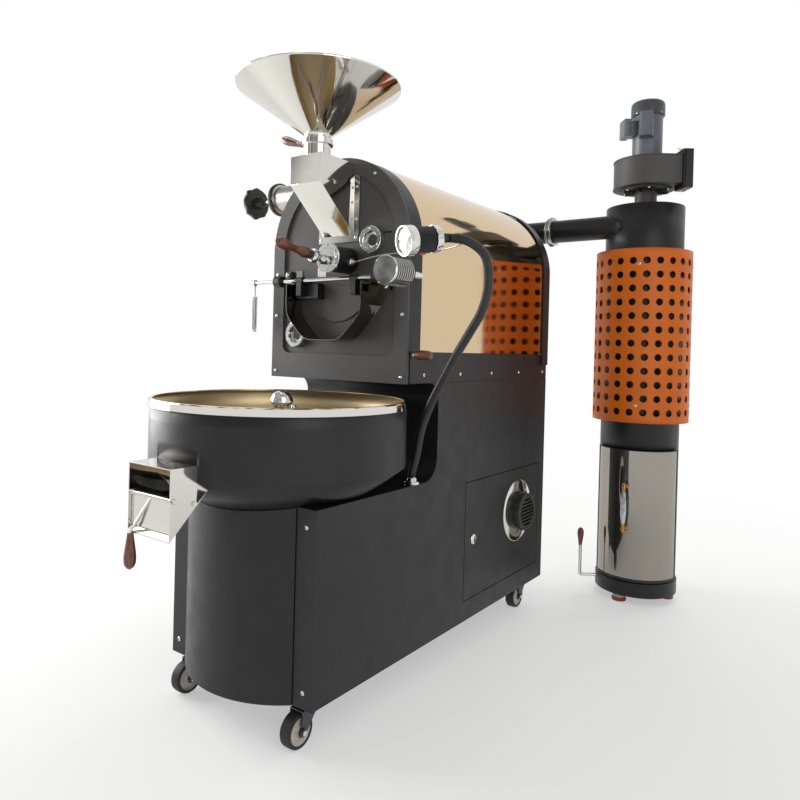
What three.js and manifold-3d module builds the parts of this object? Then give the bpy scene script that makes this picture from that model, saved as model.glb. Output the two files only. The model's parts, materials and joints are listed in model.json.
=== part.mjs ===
// Gas coffee roaster with a drum, a round cooling tray and a separate cyclone, in millimetres, +Z up.
// X runs across the machine, +Y to its rear, and z = 0 is the floor. The front strips stand at Y = 0.
import * as THREE from "three";
import { mergeVertices } from "three/addons/utils/BufferGeometryUtils.js";
import Module from "manifold-3d";

const wasm = await Module();
wasm.setup();

// Shared values
const CLEARANCE = 0.3;
const OVERRUN = 20;
const SHEET = 3;

// Cabinet
const CABINET_WIDTH = 492;
const CABINET_DEPTH = 1212;
const CABINET_BOTTOM = 95;
const CABINET_TOP = 808;
const NOTCH_DEPTH = 489;
const DECK_HEIGHT = 540;
const NOTCH_TOP_RADIUS = 46;
const NOTCH_BOTTOM_RADIUS = 62;
const BULGE_PROUD = 80;
const BULGE_HALF_CHORD = 190;

// Access door, its lock and its vent
const DOOR_FRONT = 653;
const DOOR_LENGTH = 514;
const DOOR_BOTTOM = 154;
const DOOR_HEIGHT = 355;
const DOOR_CLEARANCE = 0.6;
const DOOR_FLANGE = 15;
const LOCK_INSET = 52;
const LOCK_RADIUS = 9.5;
const LOCK_HEAD = 4;
const LOCK_BARREL = 22;
const CAM_LENGTH = 68;
const CAM_WIDTH = 14;
const CAM_THICKNESS = 3;
const VENT_OFFSET = 350;
const VENT_HEIGHT = 213;
const VENT_FLANGE_RADIUS = 102;
const VENT_FLANGE_THICKNESS = 2.5;
const VENT_CUP_RADIUS = 62;
const VENT_CUP_DEPTH = 35;
const VENT_SLOT_WIDTH = 5;
const VENT_SLOT_DEPTH = 12;
const VENT_SLOT_COUNT = 5;

// Castors
const CASTOR_TRACK = 390;
const CASTOR_FRONT = 42;
const CASTOR_BASE = 1098;
const CASTOR_TRAIL = 34;
const WHEEL_RADIUS = 40;
const WHEEL_WIDTH = 30;
const WHEEL_CLEARANCE = 2;
const FORK_THICKNESS = 3;
const FORK_WIDTH = 34;
const SWIVEL_RADIUS = 24;
const SWIVEL_HEIGHT = 6;
const CASTOR_PLATE = 66;
const CASTOR_PLATE_THICKNESS = 4;
const AXLE_RADIUS = 5;
const AXLE_HEAD = 4;

// Drum housing
const HOUSING_FRONT = 329;
const ARCH_CENTRE = 1177;
const BASE_HEIGHT = 84;
const FRAME_THICKNESS = 8;
const PLATE_THICKNESS = 8;
const RECESS_HALF_WIDTH = 203;
const RECESS_BOTTOM = 880;
const RECESS_CORNER = 25;
const BAND_END = 378;
const HOOP_START = 1165;
const HOOP_PROUD = 5;
const HOOP_LEG_BOTTOM = 855;
const REAR_PLATE_THICKNESS = 4;
const REAR_SLOT_WIDTH = 180;
const REAR_SLOT_HEIGHT = 8;
const REAR_SLOT_PITCH = 26;
const REAR_SLOT_BOTTOM = 940;
const REAR_SLOT_COUNT = 4;

// Drum, its drive and the burner
const DRUM_RADIUS = 175;
const DRUM_CENTRE = 1130;
const DRUM_WALL = 4;
const DRUM_LENGTH = 505;
const DRUM_FRONT_GAP = 4;
const VANE_HEIGHT = 25;
const VANE_THICKNESS = 4;
const VANE_COUNT = 6;
const DRUM_SHAFT_RADIUS = 20;
const BULKHEAD_GAP = 10;
const BULKHEAD_THICKNESS = 6;
const BEARING_RADIUS = 52;
const BEARING_BOSS_RADIUS = 34;
const BEARING_LENGTH = 46;
const BEARING_FLANGE = 12;
const DRIVE_LENGTH = 90;
const DRIVE_RADIUS = 62;
const MOTOR_RADIUS = 52;
const MOTOR_LENGTH = 130;
const DRIVE_FOOT_WIDTH = 90;
const DRIVE_FOOT_LENGTH = 70;
const BURNER_HEIGHT = 905;
const BURNER_BAR = 20;
const BURNER_BAR_LENGTH = 430;
const BURNER_SPREAD = 60;
const BURNER_START = 400;
const BURNER_BAR_COUNT = 4;
const GAS_PIPE_RADIUS = 9;
const GAS_PIPE_HEIGHT = 860;
const GAS_PIPE_OUT = 25;
const BURNER_LEG = 8;
const VALVE_SIZE = 44;
const VALVE_PLACE = 1010;

// Hopper, its slide gate and the feed chute
const HOPPER_Y = 240;
const HOPPER_RADIUS = 220;
const HOPPER_RIM = 1592;
const HOPPER_NECK = 1497;
const HOPPER_SHEET = 2;
const HOPPER_BEAD = 3;
const COLLAR_RADIUS = 36;
const GATE_HEIGHT = 1444;
const GATE_RING_RADIUS = 42;
const GATE_RING_HEIGHT = 16;
const GATE_THICKNESS = 3;
const GATE_TAIL = 48;
const GATE_ROD_RADIUS = 4;
const GATE_HANDLE_LENGTH = 92;
const GATE_HANDLE_RADIUS = 8;
const GATE_HANDLE_TILT = 20;
const CHUTE_HALF_WIDTH = 54;
const CHUTE_FRONT = 195;
const CHUTE_TOP = 1403;
const CHUTE_NOSE = 1328;
const CHUTE_FOOT = 1212;
const CHUTE_FLANGE = 18;
const CHUTE_FLANGE_TOP = 1350;
const CHUTE_LIP = 14;

// Sight glasses
const DRUM_SIGHT_X = 124;
const DRUM_SIGHT_Z = 1189;
const BURNER_SIGHT_X = -145;
const BURNER_SIGHT_Z = 934;
const SIGHT_RADIUS = 32;
const SIGHT_BORE = 20;
const SIGHT_PROUD = 19;
const SIGHT_CHAMFER = 4;
const GLASS_THICKNESS = 5;

// Sampler and its trier
const SAMPLER_X = 37;
const SAMPLER_Z = 1137;
const SAMPLER_RADIUS = 33.5;
const SAMPLER_FRONT = 254;
const SAMPLER_FACE_THICKNESS = 5;
const TRIER_DROP = 10;
const TRIER_TILT = 8;
const TRIER_RADIUS = 8;
const TRIER_BORE_GAP = 0.6;
const SCOOP_WALL = 1.5;
const SCOOP_LENGTH = 110;
const TRIER_REACH = 215;
const FERRULE_LENGTH = 77;
const FERRULE_RADIUS = 13;
const TRIER_HANDLE_LENGTH = 188;
const TRIER_HANDLE_RADIUS = 15;
const TRIER_WAIST_SHARE = 0.6;
const PROBE_RADIUS = 6;
const PROBE_LENGTH = 34;

// Discharge door, its shaft and its trough
const SHAFT_Y = 290;
const SHAFT_Z = 1084;
const SHAFT_RADIUS = 5.5;
const SHAFT_LEFT = 286;
const WEIGHT_X = 290;
const WEIGHT_RADIUS = 30;
const WEIGHT_CORE = 22;
const WEIGHT_FRONT = 166;
const WEIGHT_LENGTH = 79;
const WEIGHT_FIN_COUNT = 8;
const WEIGHT_STUB_RADIUS = 8.5;
const WEIGHT_STUB_END = 320;
const LEVER_RADIUS = 4;
const LEVER_BOTTOM = 944;
const GRIP_TOP = 1046.3;
const GRIP_RADIUS = 8;
const GRIP_WIRE = 2;
const GRIP_TURNS = 20;
const GRIP_PITCH = 4.9;
const LEVER_CAP_RADIUS = 9;
const LEVER_CAP_HEIGHT = 5;
const ARM_SPACING = 98.5;
const ARM_WIDTH = 18;
const ARM_HEIGHT = 44;
const ARM_HEAD = 8;
const ARM_HOLE_RADIUS = 5;
const LID_RADIUS = 122;
const LID_CENTRE = 1092;
const LID_TOP = 1070;
const LID_THICKNESS = 5;
const DISCHARGE_RADIUS = 108;
const DISCHARGE_TOP = 1058;
const TROUGH_HALF_WIDTH = 136;
const TROUGH_FLOOR_HALF = 65;
const TROUGH_LIP = 271;
const TROUGH_TOP = 1031;
const TROUGH_KNEE = 988;
const TROUGH_FLOOR = 917;
const TROUGH_SHEET = 2.5;
const EAR_LEFT = 198;
const EAR_RIGHT = 190;
const EAR_LEFT_TOP = 1120;
const EAR_RIGHT_TOP = 1100;
const EAR_BOTTOM = 1000;
const BRACKET_THICKNESS = 16;
const BRACKET_HALF_HEIGHT = 12;
const BRACKET_INSET = 8;

// Air damper
const DAMPER_Y = 420;
const DAMPER_Z = 1360;
const DAMPER_RADIUS = 40.5;
const DAMPER_WALL = 2.5;
const DAMPER_INNER = 60;
const DAMPER_OUTER = 322;
const DAMPER_RING_RADIUS = 49.5;
const DAMPER_RING_WIDTH = 12;
const DAMPER_END = 4;
const SPINDLE_RADIUS = 5;
const HANDWHEEL_OUT = 432;
const HANDWHEEL_RADIUS = 51.5;
const HANDWHEEL_THICKNESS = 20;
const HANDWHEEL_LOBES = 8;
const HANDWHEEL_LOBE_SHARE = 0.86;
const HANDWHEEL_HUB = 16;
const DAMPER_DISC = 34;
const DAMPER_SLEEVE = 40;

// Side knob
const KNOB_Y = 352;
const KNOB_Z = 884;
const KNOB_ROD_RADIUS = 3;
const KNOB_ROD_LENGTH = 60;
const KNOB_RADIUS = 13;
const KNOB_BASE = 15;
const KNOB_BASE_RADIUS = 8;
const KNOB_LENGTH = 47;

// Lamp on its bent arm
const LAMP_X = 341;
const LAMP_Y = 170;
const LAMP_Z = 1139;
const LAMP_LENGTH = 98;
const LAMP_RADIUS = 30;
const LAMP_TILT = 8.8;
const LAMP_RING = 10;
const LAMP_RIBS = 4;
const LAMP_RIB_DEPTH = 2.5;
const LAMP_REAR_RING = 18;
const LENS_DEPTH = 6;
const LENS_SEAT = 3;
const BUTTON_RADIUS = 6;
const BUTTON_PROUD = 4;
const BUTTON_SEAT = 7;
const BUTTON_TRAVEL = 2;
const ARM_RADIUS = 9;
const ARM_STEPS = 28;
const ARM_FOOT_RADIUS = 20;
const ARM_FOOT_HEIGHT = 4;

// Cooling tray
const TRAY_Y = 130;
const TRAY_RADIUS = 320;
const TRAY_RIM = 768;
const TRAY_WALL_BOTTOM = 604;
const TRAY_NECK = 524;
const TRAY_NECK_RADIUS = 210;
const RIM_HEIGHT = 18;
const RIM_THICKNESS = 3;
const RIM_INWARD = 7;
const FLOOR_THICKNESS = 2;
const FLOOR_SLOT_ROWS = 2;
const FLOOR_SLOT_COUNT = 8;
const FLOOR_SLOT_LENGTH = 70;
const FLOOR_SLOT_WIDTH = 6;
const FLOOR_SLOT_FIRST = 100;
const FLOOR_SLOT_PITCH = 100;
const STIRRER_SHAFT = 12;
const STIRRER_HUB = 34;
const STIRRER_HUB_TOP = 702;
const STIRRER_NECK = 20;
const STIRRER_NECK_TOP = 752;
const STIRRER_DOME = 29;
const STIRRER_TOP = 785;
const STIRRER_ARMS = 3;
const STIRRER_ARM_WIDTH = 22;
const STIRRER_ARM_HEIGHT = 8;
const STIRRER_ARM_Z = 682;
const STIRRER_REACH = 300;
const PADDLE_LENGTH = 105;
const PADDLE_THICKNESS = 4;
const PADDLE_TURN = 35;
const PADDLE_GAP = 4;
const PADDLE_HEIGHT = 46;
const PADDLE_POST_RADIUS = 6;
const PIN_RADIUS = 7;
const PIN_PLACE = 125;
const PIN_TOP = 765;
const GEARBOX_SIZE = 110;
const GEARBOX_HEIGHT = 84;
const STIRRER_MOTOR_RADIUS = 38;
const STIRRER_MOTOR_LENGTH = 150;
const GEARBOX_LEG = 10;
const FAN_Y = 760;
const FAN_RADIUS = 120;
const FAN_WIDTH = 90;
const FAN_HEIGHT = 250;
const FAN_DUCT_RADIUS = 60;
const FAN_DUCT_HEIGHT = 440;
const FAN_MOTOR_RADIUS = 60;
const FAN_MOTOR_LENGTH = 110;

// Tray outlet with its gate
const OUTLET_LEFT = 78;
const OUTLET_RIGHT = 70;
const OUTLET_FRONT = 250;
const OUTLET_TOP = 640;
const OUTLET_BOTTOM = 488;
const OUTLET_SHEET = 2.5;
const OUTLET_BACK = 140;
const OUTLET_BOLT_RADIUS = 6;
const OUTLET_BOLT_HEIGHT = 5;
const OUTLET_BOLT_Y = 190;
const OUTLET_BOLT_Z = 560;
const FLAP_Y = 242;
const FLAP_Z = 573;
const FLAP_SHAFT_RADIUS = 5;
const FLAP_THICKNESS = 2.5;
const FLAP_BOTTOM = 503;
const FLAP_GAP = 1;
const FLAP_ROD_RADIUS = 3.5;
const FLAP_GRIP_X = 62;
const FLAP_GRIP_Y = 258;
const FLAP_GRIP_TOP = 487;
const FLAP_GRIP_LENGTH = 74;
const FLAP_GRIP_RADIUS = 9;

// Cyclone
const CYCLONE_X = 488;
const CYCLONE_Y = 1530;
const CYCLONE_RADIUS = 139;
const CYCLONE_WALL = 4;
const CYCLONE_TOP = 1450;
const VORTEX_RADIUS = 62;
const VORTEX_LENGTH = 280;
const JACKET_RADIUS = 170;
const JACKET_BOTTOM = 657;
const JACKET_HEIGHT = 611;
const JACKET_COLUMNS = 22;
const JACKET_ROWS = 12;
const JACKET_FIRST_ROW = 28;
const JACKET_PITCH = 49.2;
const JACKET_HOLE = 12.5;
const SPACER_WIDTH = 24;
const SPACER_HEIGHT = 12;
const SPACER_INSET = 62;
const HATCH_START = -149;
const HATCH_END = -2;
const HATCH_BOTTOM = 84;
const HATCH_TOP = 532;
const HATCH_SHEET = 3;
const HATCH_MARGIN = 8;
const BASE_RING_RADIUS = 144;
const BASE_RING_BOTTOM = 28;
const BASE_RING_TOP = 80;
const FOOT_PLACE = 110;
const FOOT_RADIUS = 22;
const FOOT_PAD_RADIUS = 25;
const FOOT_PAD_HEIGHT = 12;
const FOOT_FIRST = -103;
const ASH_LEVER_Z = 66;
const ASH_LEVER_REACH = 210;
const ASH_LEVER_ROD = 5;
const ASH_LEVER_RISE = 110;
const ASH_LEVER_TOP = 248;
const ASH_KNOB_RADIUS = 9;
const ASH_LEVER_INSIDE = 20;

// Exhaust pipe
const PIPE_RADIUS = 43;
const PIPE_WALL = 2.5;
const PIPE_Z = 1375;
const PIPE_Y = 1440;
const PIPE_BEND = 80;
const CLAMP_X = 140;
const CLAMP_WIDTH = 26;
const CLAMP_THICKNESS = 3;
const CLAMP_LUG = 12;
const CLAMP_LUG_HEIGHT = 16;

// Fan on top of the cyclone
const HEAD_TURN = 36.6;
const NECK_RADIUS = 39.5;
const VOLUTE_BOTTOM = 1489;
const VOLUTE_HEIGHT = 134;
const VOLUTE_SMALL = 98;
const VOLUTE_LARGE = 126;
const VOLUTE_TONGUE = -47;
const VOLUTE_STEPS = 18;
const VOLUTE_OUT = 137;
const VOLUTE_THROAT = 72;
const VOLUTE_FLANGE = 24;
const VOLUTE_FLANGE_THICKNESS = 8;
const IMPELLER_RADIUS = 82;
const IMPELLER_LIFT = 16;
const IMPELLER_HEIGHT = 80;
const IMPELLER_DISC = 4;
const IMPELLER_BLADES = 8;
const IMPELLER_HUB = 18;
const IMPELLER_EYE = 40;
const BLADE_THICKNESS = 3;
const MOTOR_SHAFT_RADIUS = 9;
const HEAD_MOTOR_RADIUS = 46;
const HEAD_MOTOR_FIN = 52.5;
const HEAD_MOTOR_TOP = 1768;
const HEAD_MOTOR_FIN_COUNT = 12;
const HEAD_FIN_THICKNESS = 3;
const HEAD_FLANGE_RADIUS = 62;
const HEAD_FLANGE_HEIGHT = 10;
const HEAD_CAP_RADIUS = 60.5;
const HEAD_CAP_TOP = 1872;
const HEAD_CAP_ROUND = 10;
const TERMINAL_OUT = 108;
const TERMINAL_WIDTH = 70;
const TERMINAL_BOTTOM = 1716;
const TERMINAL_TOP = 1798;
const CAPACITOR_OUT = 92;
const CAPACITOR_WIDTH = 46;
const CAPACITOR_BOTTOM = 1691;

// Numbers of sides
const ROUND = 12;
const FINE = 24;
const SMALL = 8;
const TINY = 6;
const CYCLONE_SIDES = 22;
const ARCH_STEPS = 14;
const ELBOW_STEPS = 5;

// Finishes
const finish = (color, roughness, metalness) => new THREE.MeshStandardMaterial({ color, roughness, metalness });
const BLACK_PAINT = finish(0x1b1c1e, 0.6, 0.2);
const MIRROR_STEEL = finish(0xc9c4bb, 0.12, 1);
const BRUSHED_STEEL = finish(0xa9a8a4, 0.35, 1);
const CHAMPAGNE_STEEL = finish(0xc4b296, 0.3, 1);
const ORANGE_PAINT = finish(0xd9731c, 0.5, 0.1);
const WOOD = finish(0x6a3320, 0.5, 0);
const BLACK_PLASTIC = finish(0x151515, 0.5, 0);
const GREY_PAINT = finish(0x55585c, 0.5, 0.2);
const CAST_IRON = finish(0x2a2a2a, 0.7, 0.5);
const CLEAR_GLASS = finish(0xdfe8ea, 0.05, 0);
const RED_PLASTIC = finish(0xb3241c, 0.4, 0);
const TYRE_RUBBER = finish(0x3a3a3c, 0.8, 0);

const degrees = (angle) => THREE.MathUtils.degToRad(angle);

// A closed geometry as a solid with its faces out.
function solidOf(geometry) {
  const bare = geometry.clone();
  bare.deleteAttribute("normal");
  bare.deleteAttribute("uv");
  const merged = mergeVertices(bare);
  const corners = merged.index.array;
  const kept = [];
  for (let i = 0; i < corners.length; i += 3) {
    const [a, b, c] = [corners[i], corners[i + 1], corners[i + 2]];
    if (a !== b && b !== c && c !== a) kept.push(a, b, c);
  }
  const build = (list) =>
    new wasm.Manifold(
      new wasm.Mesh({
        numProp: 3,
        vertProperties: new Float32Array(merged.attributes.position.array),
        triVerts: new Uint32Array(list),
      }),
    );
  const made = build(kept);
  return made.volume() < 0 ? build(kept.reverse()) : made;
}

const asSolid = (piece) => (piece.isBufferGeometry ? solidOf(piece) : piece);
const join = (...pieces) => pieces.map(asSolid).reduce((whole, piece) => whole.add(piece));
const cut = (whole, ...pieces) => pieces.map(asSolid).reduce((rest, piece) => rest.subtract(piece), asSolid(whole));
const common = (one, other) => asSolid(one).intersect(asSolid(other));

// Turns a geometry whose own axis is Z so that it runs along X, Y or Z.
function alongAxis(geometry, axis) {
  const turned = new THREE.Matrix4();
  const [x, y, z] = [new THREE.Vector3(1, 0, 0), new THREE.Vector3(0, 1, 0), new THREE.Vector3(0, 0, 1)];
  if (axis === "x") turned.makeBasis(y, z, x);
  if (axis === "y") turned.makeBasis(x, z, y.clone().negate());
  return geometry.applyMatrix4(turned);
}

// A box between two corners.
function block(x0, x1, y0, y1, z0, z1) {
  return new THREE.BoxGeometry(x1 - x0, y1 - y0, z1 - z0).translate((x0 + x1) / 2, (y0 + y1) / 2, (z0 + z1) / 2);
}

// An outline pushed along an axis: (Y, Z) outlines along x, (X, Z) along y and (X, Y) along z.
function pushed(outline, axis, from, to, curveSegments = SMALL) {
  const geometry = new THREE.ExtrudeGeometry(outline, { depth: to - from, bevelEnabled: false, curveSegments });
  alongAxis(geometry, axis);
  if (axis === "x") return geometry.translate(from, 0, 0);
  if (axis === "y") return geometry.translate(0, to, 0);
  return geometry.translate(0, 0, from);
}

// A profile of [radius, place] pairs turned about an axis through (a, b).
function turned(profile, axis, a, b, sides = ROUND) {
  const points = profile.map(([radius, place]) => new THREE.Vector2(radius, place));
  const geometry = new THREE.LatheGeometry(points, sides).rotateX(Math.PI / 2);
  const about = { x: [1, 2, 0], y: [0, 2, 1], z: [0, 1, 2] }[axis];
  const place = geometry.attributes.position;
  for (let i = 0; i < place.count; i++) {
    const spot = [0, 0, 0];
    spot[about[0]] = place.getX(i) + a;
    spot[about[1]] = place.getY(i) + b;
    spot[about[2]] = place.getZ(i);
    place.setXYZ(i, ...spot);
  }
  return geometry;
}

const rod = (axis, radius, from, to, a, b, sides = ROUND) =>
  turned([[0, from], [radius, from], [radius, to], [0, to]], axis, a, b, sides);
// A hole that a faceted shaft can turn in: its flats clear the corners of the shaft.
const turningHole = (axis, radius, from, to, a, b, sides) =>
  rod(axis, (radius + CLEARANCE) / Math.cos(Math.PI / sides), from, to, a, b, sides);
const ring = (axis, outer, inner, from, to, a, b, sides = ROUND) =>
  turned([[inner, from], [outer, from], [outer, to], [inner, to], [inner, from]], axis, a, b, sides);

// A round section of a few sides carried along a curve.
function carried(curve, radius, steps, sides) {
  const corners = Array.from({ length: sides }, (_, i) => (2 * Math.PI * i) / sides);
  const section = new THREE.Shape(corners.map((t) => new THREE.Vector2(radius * Math.cos(t), radius * Math.sin(t))));
  return new THREE.ExtrudeGeometry(section, { steps, bevelEnabled: false, extrudePath: curve });
}

const outlineOf = (points) => new THREE.Shape(points.map(([a, b]) => new THREE.Vector2(a, b)));
const straight = (from, to) => new THREE.LineCurve3(new THREE.Vector3(...from), new THREE.Vector3(...to));
const spun = (geometry, angle) => geometry.clone().rotateZ(angle);

const machine = new THREE.Group();

// Adds a named mesh that holds a solid.
function addPart(name, solid, material, parent = machine) {
  const held = asSolid(solid).getMesh();
  const geometry = new THREE.BufferGeometry();
  geometry.setAttribute("position", new THREE.BufferAttribute(held.vertProperties, 3));
  geometry.setIndex(new THREE.BufferAttribute(held.triVerts, 1));
  geometry.computeVertexNormals();
  const mesh = new THREE.Mesh(geometry, material);
  mesh.name = name;
  parent.add(mesh);
  return mesh;
}

const HALF_WIDTH = CABINET_WIDTH / 2;
const RECESS_FACE = HOUSING_FRONT + FRAME_THICKNESS;
const PLATE_BACK = RECESS_FACE + PLATE_THICKNESS;
const BASE_TOP = CABINET_TOP + BASE_HEIGHT;
const SEAT_FACE = RECESS_FACE - CLEARANCE;
const HOUSING_FLOOR = CABINET_TOP + CLEARANCE;

// The cabinet seen from the side, drawn in by a wall.
function cabinetOutline(inset) {
  const outline = new THREE.Shape();
  const [topY, topZ] = [NOTCH_DEPTH - NOTCH_TOP_RADIUS, CABINET_TOP - NOTCH_TOP_RADIUS];
  const [lowY, lowZ] = [NOTCH_DEPTH - NOTCH_BOTTOM_RADIUS, DECK_HEIGHT + NOTCH_BOTTOM_RADIUS];
  const start = Math.asin((NOTCH_TOP_RADIUS - inset) / (NOTCH_TOP_RADIUS + inset));
  outline.moveTo(inset, CABINET_BOTTOM + inset);
  outline.lineTo(CABINET_DEPTH - inset, CABINET_BOTTOM + inset);
  outline.lineTo(CABINET_DEPTH - inset, CABINET_TOP - inset);
  outline.absarc(topY, topZ, NOTCH_TOP_RADIUS + inset, start, 0, true);
  outline.absarc(lowY, lowZ, NOTCH_BOTTOM_RADIUS + inset, 0, -Math.PI / 2, true);
  outline.lineTo(inset, DECK_HEIGHT - inset);
  return outline;
}

// The outside of the cooling tray, grown by a clearance, as a cutter for what meets it.
function trayOutside(grow) {
  return turned(
    [
      [0, TRAY_NECK - grow],
      [TRAY_NECK_RADIUS + grow, TRAY_NECK - grow],
      [TRAY_RADIUS + grow, TRAY_WALL_BOTTOM - grow],
      [TRAY_RADIUS + grow, TRAY_RIM],
      [0, TRAY_RIM],
    ],
    "z",
    0,
    TRAY_Y,
    FINE,
  );
}

const castorPlaces = [
  ["front_left", -CASTOR_TRACK / 2, CASTOR_FRONT],
  ["front_right", CASTOR_TRACK / 2, CASTOR_FRONT],
  ["rear_left", -CASTOR_TRACK / 2, CASTOR_FRONT + CASTOR_BASE],
  ["rear_right", CASTOR_TRACK / 2, CASTOR_FRONT + CASTOR_BASE],
];
const CASTOR_FACE = CABINET_BOTTOM - CASTOR_PLATE_THICKNESS;

// Cabinet with its notch for the tray, the door opening and the castor plates
function makeCabinet() {
  const outer = pushed(cabinetOutline(0), "x", -HALF_WIDTH, HALF_WIDTH);
  const inner = pushed(cabinetOutline(SHEET), "x", SHEET - HALF_WIDTH, HALF_WIDTH - SHEET);
  const doorway = block(
    HALF_WIDTH - OVERRUN,
    HALF_WIDTH + OVERRUN,
    DOOR_FRONT,
    DOOR_FRONT + DOOR_LENGTH,
    DOOR_BOTTOM,
    DOOR_BOTTOM + DOOR_HEIGHT,
  );
  const plates = castorPlaces.map(([, x, y]) =>
    block(x - CASTOR_PLATE / 2, x + CASTOR_PLATE / 2, y - CASTOR_PLATE / 2, y + CASTOR_PLATE / 2,
      CASTOR_FACE, CABINET_BOTTOM + SHEET / 2),
  );
  addPart("cabinet", join(cut(outer, inner, doorway, trayOutside(CLEARANCE)), ...plates), BLACK_PAINT);
}

// Half-round sheet that bulges out of the pedestal between the two flat strips
function makeBulge() {
  const radius = (BULGE_HALF_CHORD ** 2 + BULGE_PROUD ** 2) / (2 * BULGE_PROUD);
  const centre = radius - BULGE_PROUD;
  const shell = ring("z", radius, radius - SHEET, CABINET_BOTTOM, DECK_HEIGHT, 0, centre, FINE);
  const front = block(-radius, radius, -radius, -CLEARANCE, CABINET_BOTTOM, DECK_HEIGHT);
  addPart("front_bulge", cut(common(shell, front), trayOutside(CLEARANCE)), BLACK_PAINT);
}

const VENT_Y = DOOR_FRONT + VENT_OFFSET;
const VENT_Z = DOOR_BOTTOM + VENT_HEIGHT;
const LOCK_Y = DOOR_FRONT + LOCK_INSET;
const LOCK_Z = DOOR_BOTTOM + DOOR_HEIGHT / 2;

// Access door with folded edges, its cam lock and the blower vent on it
function makeAccessDoor() {
  const [y0, y1] = [DOOR_FRONT + DOOR_CLEARANCE, DOOR_FRONT + DOOR_LENGTH - DOOR_CLEARANCE];
  const [z0, z1] = [DOOR_BOTTOM + DOOR_CLEARANCE, DOOR_BOTTOM + DOOR_HEIGHT - DOOR_CLEARANCE];
  const pan = cut(
    block(HALF_WIDTH - DOOR_FLANGE, HALF_WIDTH, y0, y1, z0, z1),
    block(HALF_WIDTH - DOOR_FLANGE - OVERRUN, HALF_WIDTH - SHEET, y0 + SHEET, y1 - SHEET, z0 + SHEET, z1 - SHEET),
    turningHole("x", LOCK_RADIUS, HALF_WIDTH - OVERRUN, HALF_WIDTH + OVERRUN, LOCK_Y, LOCK_Z, SMALL),
    rod("x", VENT_CUP_RADIUS - VENT_SLOT_DEPTH, HALF_WIDTH - OVERRUN, HALF_WIDTH + OVERRUN, VENT_Y, VENT_Z),
  );
  addPart("access_door", pan, BLACK_PAINT);
  const face = HALF_WIDTH + CLEARANCE;
  const camBack = HALF_WIDTH - LOCK_BARREL;
  const lock = join(
    turned([[0, camBack], [LOCK_RADIUS, camBack], [LOCK_RADIUS, face], [LOCK_RADIUS + LOCK_HEAD, face],
      [LOCK_RADIUS + LOCK_HEAD, face + LOCK_HEAD / 2], [LOCK_RADIUS, face + LOCK_HEAD], [0, face + LOCK_HEAD]],
    "x", LOCK_Y, LOCK_Z, SMALL),
    block(camBack, camBack + CAM_THICKNESS, LOCK_Y - CAM_WIDTH / 2, LOCK_Y + CAM_WIDTH / 2, LOCK_Z, LOCK_Z + CAM_LENGTH),
  );
  const slit = block(face + LOCK_HEAD / 2, face + LOCK_HEAD * 2, LOCK_Y - LOCK_HEAD / 4, LOCK_Y + LOCK_HEAD / 4,
    LOCK_Z - LOCK_HEAD, LOCK_Z + LOCK_HEAD);
  addPart("door_lock", cut(lock, slit), BRUSHED_STEEL);
  const flange = face + VENT_FLANGE_THICKNESS;
  const cupTop = flange + VENT_CUP_DEPTH;
  const cup = turned([[0, flange - VENT_FLANGE_THICKNESS / 2], [VENT_CUP_RADIUS, flange - VENT_FLANGE_THICKNESS / 2],
    [VENT_CUP_RADIUS, cupTop - VENT_SLOT_WIDTH], [VENT_CUP_RADIUS - VENT_SLOT_WIDTH, cupTop], [0, cupTop]],
  "x", VENT_Y, VENT_Z);
  const plate = rod("x", VENT_FLANGE_RADIUS, face, flange, VENT_Y, VENT_Z, FINE);
  const slotPitch = (2 * VENT_CUP_RADIUS) / (VENT_SLOT_COUNT + 1);
  const slots = Array.from({ length: VENT_SLOT_COUNT }, (_, i) => {
    const z = VENT_Z - VENT_CUP_RADIUS + slotPitch * (i + 1);
    const half = Math.sqrt(Math.max(VENT_CUP_RADIUS ** 2 - (z - VENT_Z) ** 2, 0)) - VENT_SLOT_WIDTH * 2;
    return block(cupTop - VENT_SLOT_DEPTH, cupTop + OVERRUN, VENT_Y - half, VENT_Y + half,
      z - VENT_SLOT_WIDTH / 2, z + VENT_SLOT_WIDTH / 2);
  });
  addPart("side_vent", cut(join(plate, cup), ...slots), BLACK_PLASTIC);
}

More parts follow.
